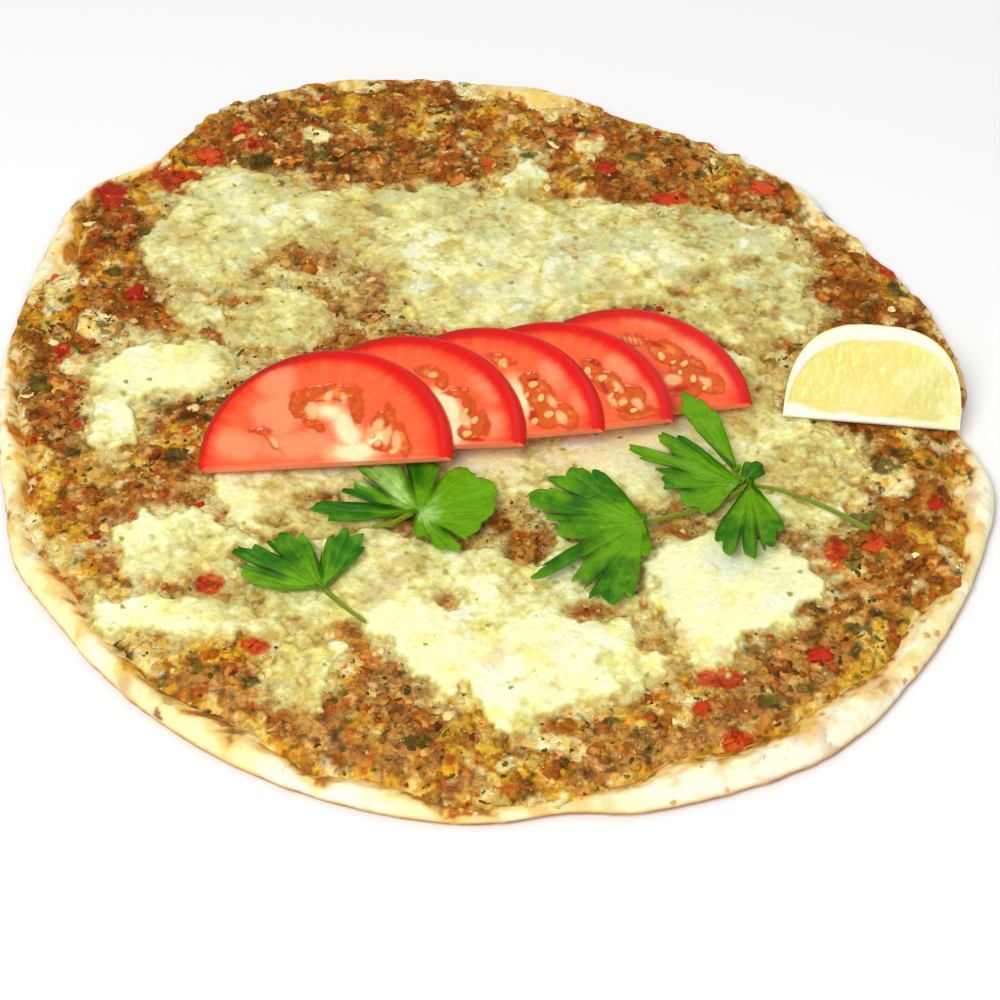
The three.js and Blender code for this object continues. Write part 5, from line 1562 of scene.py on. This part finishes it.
def buildStem(route):
    line = curveThrough(route, parsley["stemSteps"])
    ahead = np.gradient(line, axis=0)
    ahead /= np.linalg.norm(ahead, axis=1, keepdims=True)
    across = np.cross(ahead, [0, 0, 1.0])
    across /= np.linalg.norm(across, axis=1, keepdims=True)
    upward = np.cross(across, ahead)
    turn = np.linspace(0, 2 * np.pi, parsley["stemSides"], endpoint=False)
    radius = parsley["stemRadius"] * (1 - 0.35 * np.linspace(0, 1, len(line)))[:, None]
    ridge = (radius * (1 + 0.1 * np.cos(4 * turn)))[:, :, None]
    circle = across[:, None] * np.cos(turn)[:, None] + upward[:, None] * np.sin(turn)[:, None]
    points = (line[:, None] + ridge * circle).reshape(-1, 3)
    points = np.concatenate([points, line[:1] - ahead[:1] * 0.4, line[-1:] + ahead[-1:] * 0.4])
    tone = np.append(0.5 + 0.5 * np.cos(4 * np.tile(turn, len(line))), [1, 1])
    paint = over(plain(parsley["stem"], tone), parsley["stemDark"], 1 - tone)
    return points, tubeFaces(len(line), len(turn)), paint


def buildParsley(name):
    parts = [buildLeaf(*leaf) for leaf in parsleyPieces[name]["leaves"]]
    points, faces, paint = joined(parts + [buildStem(route) for route in parsleyPieces[name]["stems"]])
    piece = meshPiece(name.replace("parsley_", "parsleyLeaf_"), points, faces, materials["leaf"], paint)
    fixNormals(piece)
    return settle(piece, "parsley", name)


print("parsley")
for name in parsleyPieces:
    buildParsley(name)


# Scattered bits, placed on a ground by Geometry Nodes

def buildScatterTree():
    tree = bpy.data.node_groups.new("scatterBits", "GeometryNodeTree")
    for label, kind in (("Geometry", "Geometry"), ("Shapes", "Collection"), ("Where", "String"),
                        ("Spacing", "Float"), ("Density", "Float"), ("Smallest", "Vector"),
                        ("Largest", "Vector"), ("Tilt", "Float"), ("Seed", "Int"), ("Finish", "Material")):
        tree.interface.new_socket(label, in_out="INPUT", socket_type="NodeSocket" + kind)
    tree.interface.new_socket("Geometry", in_out="OUTPUT", socket_type="NodeSocketGeometry")
    given = place(tree, "NodeGroupInput").outputs

    def randomVector(low, high, seed):
        own = place(tree, "FunctionNodeInputInt", integer=seed).outputs[0]
        inputs = {0: low, 1: high, "Seed": own}
        return place(tree, "FunctionNodeRandomValue", inputs, data_type="FLOAT_VECTOR").outputs["Value"]

    mask = place(tree, "GeometryNodeInputNamedAttribute", {"Name": given["Where"]}, data_type="FLOAT")
    spread = place(tree, "GeometryNodeDistributePointsOnFaces",
                   {"Mesh": given["Geometry"], "Distance Min": given["Spacing"], "Seed": given["Seed"],
                    "Density Max": given["Density"], "Density Factor": mask.outputs["Attribute"]},
                   distribute_method="POISSON")
    tone = place(tree, "FunctionNodeRandomValue", {"Seed": given["Seed"]}, data_type="FLOAT")
    marked = place(tree, "GeometryNodeStoreNamedAttribute",
                   {"Geometry": spread.outputs["Points"], "Name": "tone", "Value": tone.outputs["Value"]},
                   data_type="FLOAT", domain="POINT")
    shapes = place(tree, "GeometryNodeCollectionInfo",
                   {"Collection": given["Shapes"], "Separate Children": True, "Reset Children": True})
    tilt = place(tree, "ShaderNodeCombineXYZ", {"X": given["Tilt"], "Y": given["Tilt"], "Z": math.pi})
    tilt = tilt.outputs[0]
    turn = randomVector(vectorNode(tree, "SCALE", {0: tilt, "Scale": -1.0}), tilt, 11)
    bits = place(tree, "GeometryNodeInstanceOnPoints",
                 {"Points": marked.outputs["Geometry"], "Instance": shapes.outputs["Instances"],
                  "Pick Instance": True, "Rotation": turn,
                  "Scale": randomVector(given["Smallest"], given["Largest"], 23)})
    real = place(tree, "GeometryNodeRealizeInstances", {"Geometry": bits.outputs["Instances"]})
    smooth = place(tree, "GeometryNodeSetShadeSmooth", {"Geometry": real.outputs["Geometry"]})
    done = place(tree, "GeometryNodeSetMaterial",
                 {"Geometry": smooth.outputs["Geometry"], "Material": given["Finish"]})
    place(tree, "NodeGroupOutput", {"Geometry": done.outputs["Geometry"]})
    return tree


scatterTree = buildScatterTree()


def shapeObject(name, points, faces):
    mesh = bpy.data.meshes.new(name)
    mesh.from_pydata((points * mm).tolist(), [], faces)
    return bpy.data.objects.new(name, mesh)


def bitShape(name, seed, detail, roughness, squareness=0.0):
    points, faces = blob(seed, detail, roughness, squareness)
    return shapeObject(name, points, faces.tolist())


# A thin bent scrap of leaf with an uneven outline
def flakeShape(name, seed, corners=7):
    draw = np.random.default_rng(seed)
    turn = np.linspace(0, 2 * np.pi, corners, endpoint=False)
    reach = draw.uniform(0.6, 1.15, corners)
    x, y = reach * np.cos(turn), 0.7 * reach * np.sin(turn)
    z = 0.25 * (x ** 2 - y ** 2) + draw.uniform(-0.08, 0.08, corners)
    points = np.concatenate([np.stack([x, y, z + 0.14], 1), np.stack([x, y, z - 0.1], 1),
                             [[0, 0, 0.2], [0, 0, -0.1]]])
    faces = []
    for a in range(corners):
        b = (a + 1) % corners
        faces += [(a, b, 2 * corners), (b + corners, a + corners, 2 * corners + 1),
                  (a + corners, b + corners, b, a)]
    return shapeObject(name, points, faces)


perSquareMetre = 1e6


# Bits on a ground where its mark is. The form is the first seed and the number of shapes, then their own
# values. Spacing is in millimetres and Density in bits per square millimetre.
def scatter(name, ground, material, maker, form, **values):
    first, count, *own = form
    shapes = [maker(f"{name}{k}", first + k, *own) for k in range(count)]
    group = bpy.data.collections.new(name + "Shapes")
    for shape in shapes:
        group.objects.link(shape)
    host = addObject(name + "Host", ground.data)
    modifier = host.modifiers.new("scatter", "NODES")
    modifier.node_group = scatterTree
    values = {**values, "Spacing": values["Spacing"] * mm, "Density": values["Density"] * perSquareMetre,
              "Shapes": group, "Finish": materials[material]}
    for socket in scatterTree.interface.items_tree:
        if socket.item_type == "SOCKET" and socket.in_out == "INPUT" and socket.name in values:
            modifier[socket.identifier] = values[socket.name]
    bpy.context.view_layer.update()
    depsgraph = bpy.context.evaluated_depsgraph_get()
    mesh = bpy.data.meshes.new_from_object(host.evaluated_get(depsgraph), depsgraph=depsgraph)
    mesh.name = name
    for used in (host, *shapes):
        bpy.data.objects.remove(used)
    bpy.data.collections.remove(group)
    return settle(addObject(name, mesh), "mince")


print("scattered bits")
scatter("minceCrumbs", minceLayer, "crumb", bitShape, (500, 6, 2, 0.5), Where="crumbs", Spacing=1.9,
        Density=0.10, Smallest=(0.7, 0.6, 0.4), Largest=(1.7, 1.4, 0.8), Tilt=0.35, Seed=3)
scatter("minceBits", minceLayer, "crumb", bitShape, (520, 5, 1, 0.4), Where="bits", Spacing=1.2,
        Density=0.16, Smallest=(0.35, 0.35, 0.25), Largest=(0.9, 0.8, 0.5), Tilt=0.8, Seed=7)
scatter("rimBits", breadCrust, "crumb", bitShape, (530, 5, 1, 0.5), Where="spill", Spacing=1.6,
        Density=0.14, Smallest=(0.4, 0.4, 0.3), Largest=(1.2, 1.0, 0.6), Tilt=0.5, Seed=5)
scatter("herbFlakes", minceLayer, "herb", flakeShape, (540, 6), Where="herbs", Spacing=1.6,
        Density=0.05, Smallest=(0.6, 0.6, 0.7), Largest=(1.9, 1.6, 1.2), Tilt=0.45, Seed=13)
scatter("pepperBits", minceLayer, "pepper", bitShape, (560, 4, 2, 0.3, 0.5), Where="reds", Spacing=6.0,
        Density=0.008, Smallest=(0.6, 0.5, 0.3), Largest=(1.7, 1.2, 0.7), Tilt=0.4, Seed=17)
scatter("onionBits", minceLayer, "onion", bitShape, (580, 4, 2, 0.4, 0.2), Where="crumbs", Spacing=6.0,
        Density=0.005, Smallest=(0.9, 0.7, 0.25), Largest=(2.6, 1.9, 0.55), Tilt=0.2, Seed=19)


# Floor, light and camera

studio = {
    "floorSize": 6.0, "floorColour": (250, 250, 249), "worldColour": (255, 255, 255), "worldStrength": 0.5,
    "key": {"at": (-0.3, -0.7, 0.95), "size": 0.5, "power": 10.5},
    "fill": {"at": (0.6, 0.5, 1.0), "size": 1.2, "power": 2.0},
}

# Aim and distance in millimetres, elevation and roll in degrees
view = {"aim": (4.6, -38.2, 0.0), "distance": 722.6, "elevation": 47.0, "roll": 1.96, "lens": 90.0,
        "sensor": 36.0}


def buildStudio():
    half = 0.5 * studio["floorSize"]
    mesh = bpy.data.meshes.new("floor")
    corners = [(-half, -half, 0), (half, -half, 0), (half, half, 0), (-half, half, 0)]
    mesh.from_pydata(corners, [], [(0, 1, 2, 3)])
    mesh.materials.append(newMaterial("paleFloor", Roughness=0.7, Base_Color=rgba(*studio["floorColour"]))[0])
    floor = addObject("floor", mesh)

    world = bpy.data.worlds.new("studio")
    world.use_nodes = True
    background = world.node_tree.nodes["Background"]
    background.inputs["Color"].default_value = rgba(*studio["worldColour"])
    background.inputs["Strength"].default_value = studio["worldStrength"]
    bpy.context.scene.world = world
    for name in ("key", "fill"):
        spec = studio[name]
        light = bpy.data.lights.new(name + "Light", "AREA")
        light.size = spec["size"]
        light.energy = spec["power"]
        lamp = addObject(name + "Light", light)
        lamp.location = spec["at"]
        lamp.rotation_euler = (-Vector(spec["at"])).to_track_quat("-Z", "Y").to_euler()
    bpy.context.scene.view_settings.view_transform = "Standard"


def buildCamera():
    elevation, roll = math.radians(view["elevation"]), math.radians(view["roll"])
    ahead = Vector((0, math.cos(elevation), -math.sin(elevation)))
    right = Vector((1, 0, 0))
    up = right.cross(ahead)
    rolledRight = right * math.cos(roll) + up * math.sin(roll)
    rolledUp = up * math.cos(roll) - right * math.sin(roll)
    camera = bpy.data.cameras.new("camera")
    camera.lens = view["lens"]
    camera.sensor_width = view["sensor"]
    holder = addObject("camera", camera)
    turning = Matrix((rolledRight, rolledUp, -ahead)).transposed().to_4x4()
    holder.matrix_world = Matrix.Translation((Vector(view["aim"]) - ahead * view["distance"]) * mm) @ turning
    bpy.context.scene.camera = holder


print("studio and camera")
buildStudio()
buildCamera()
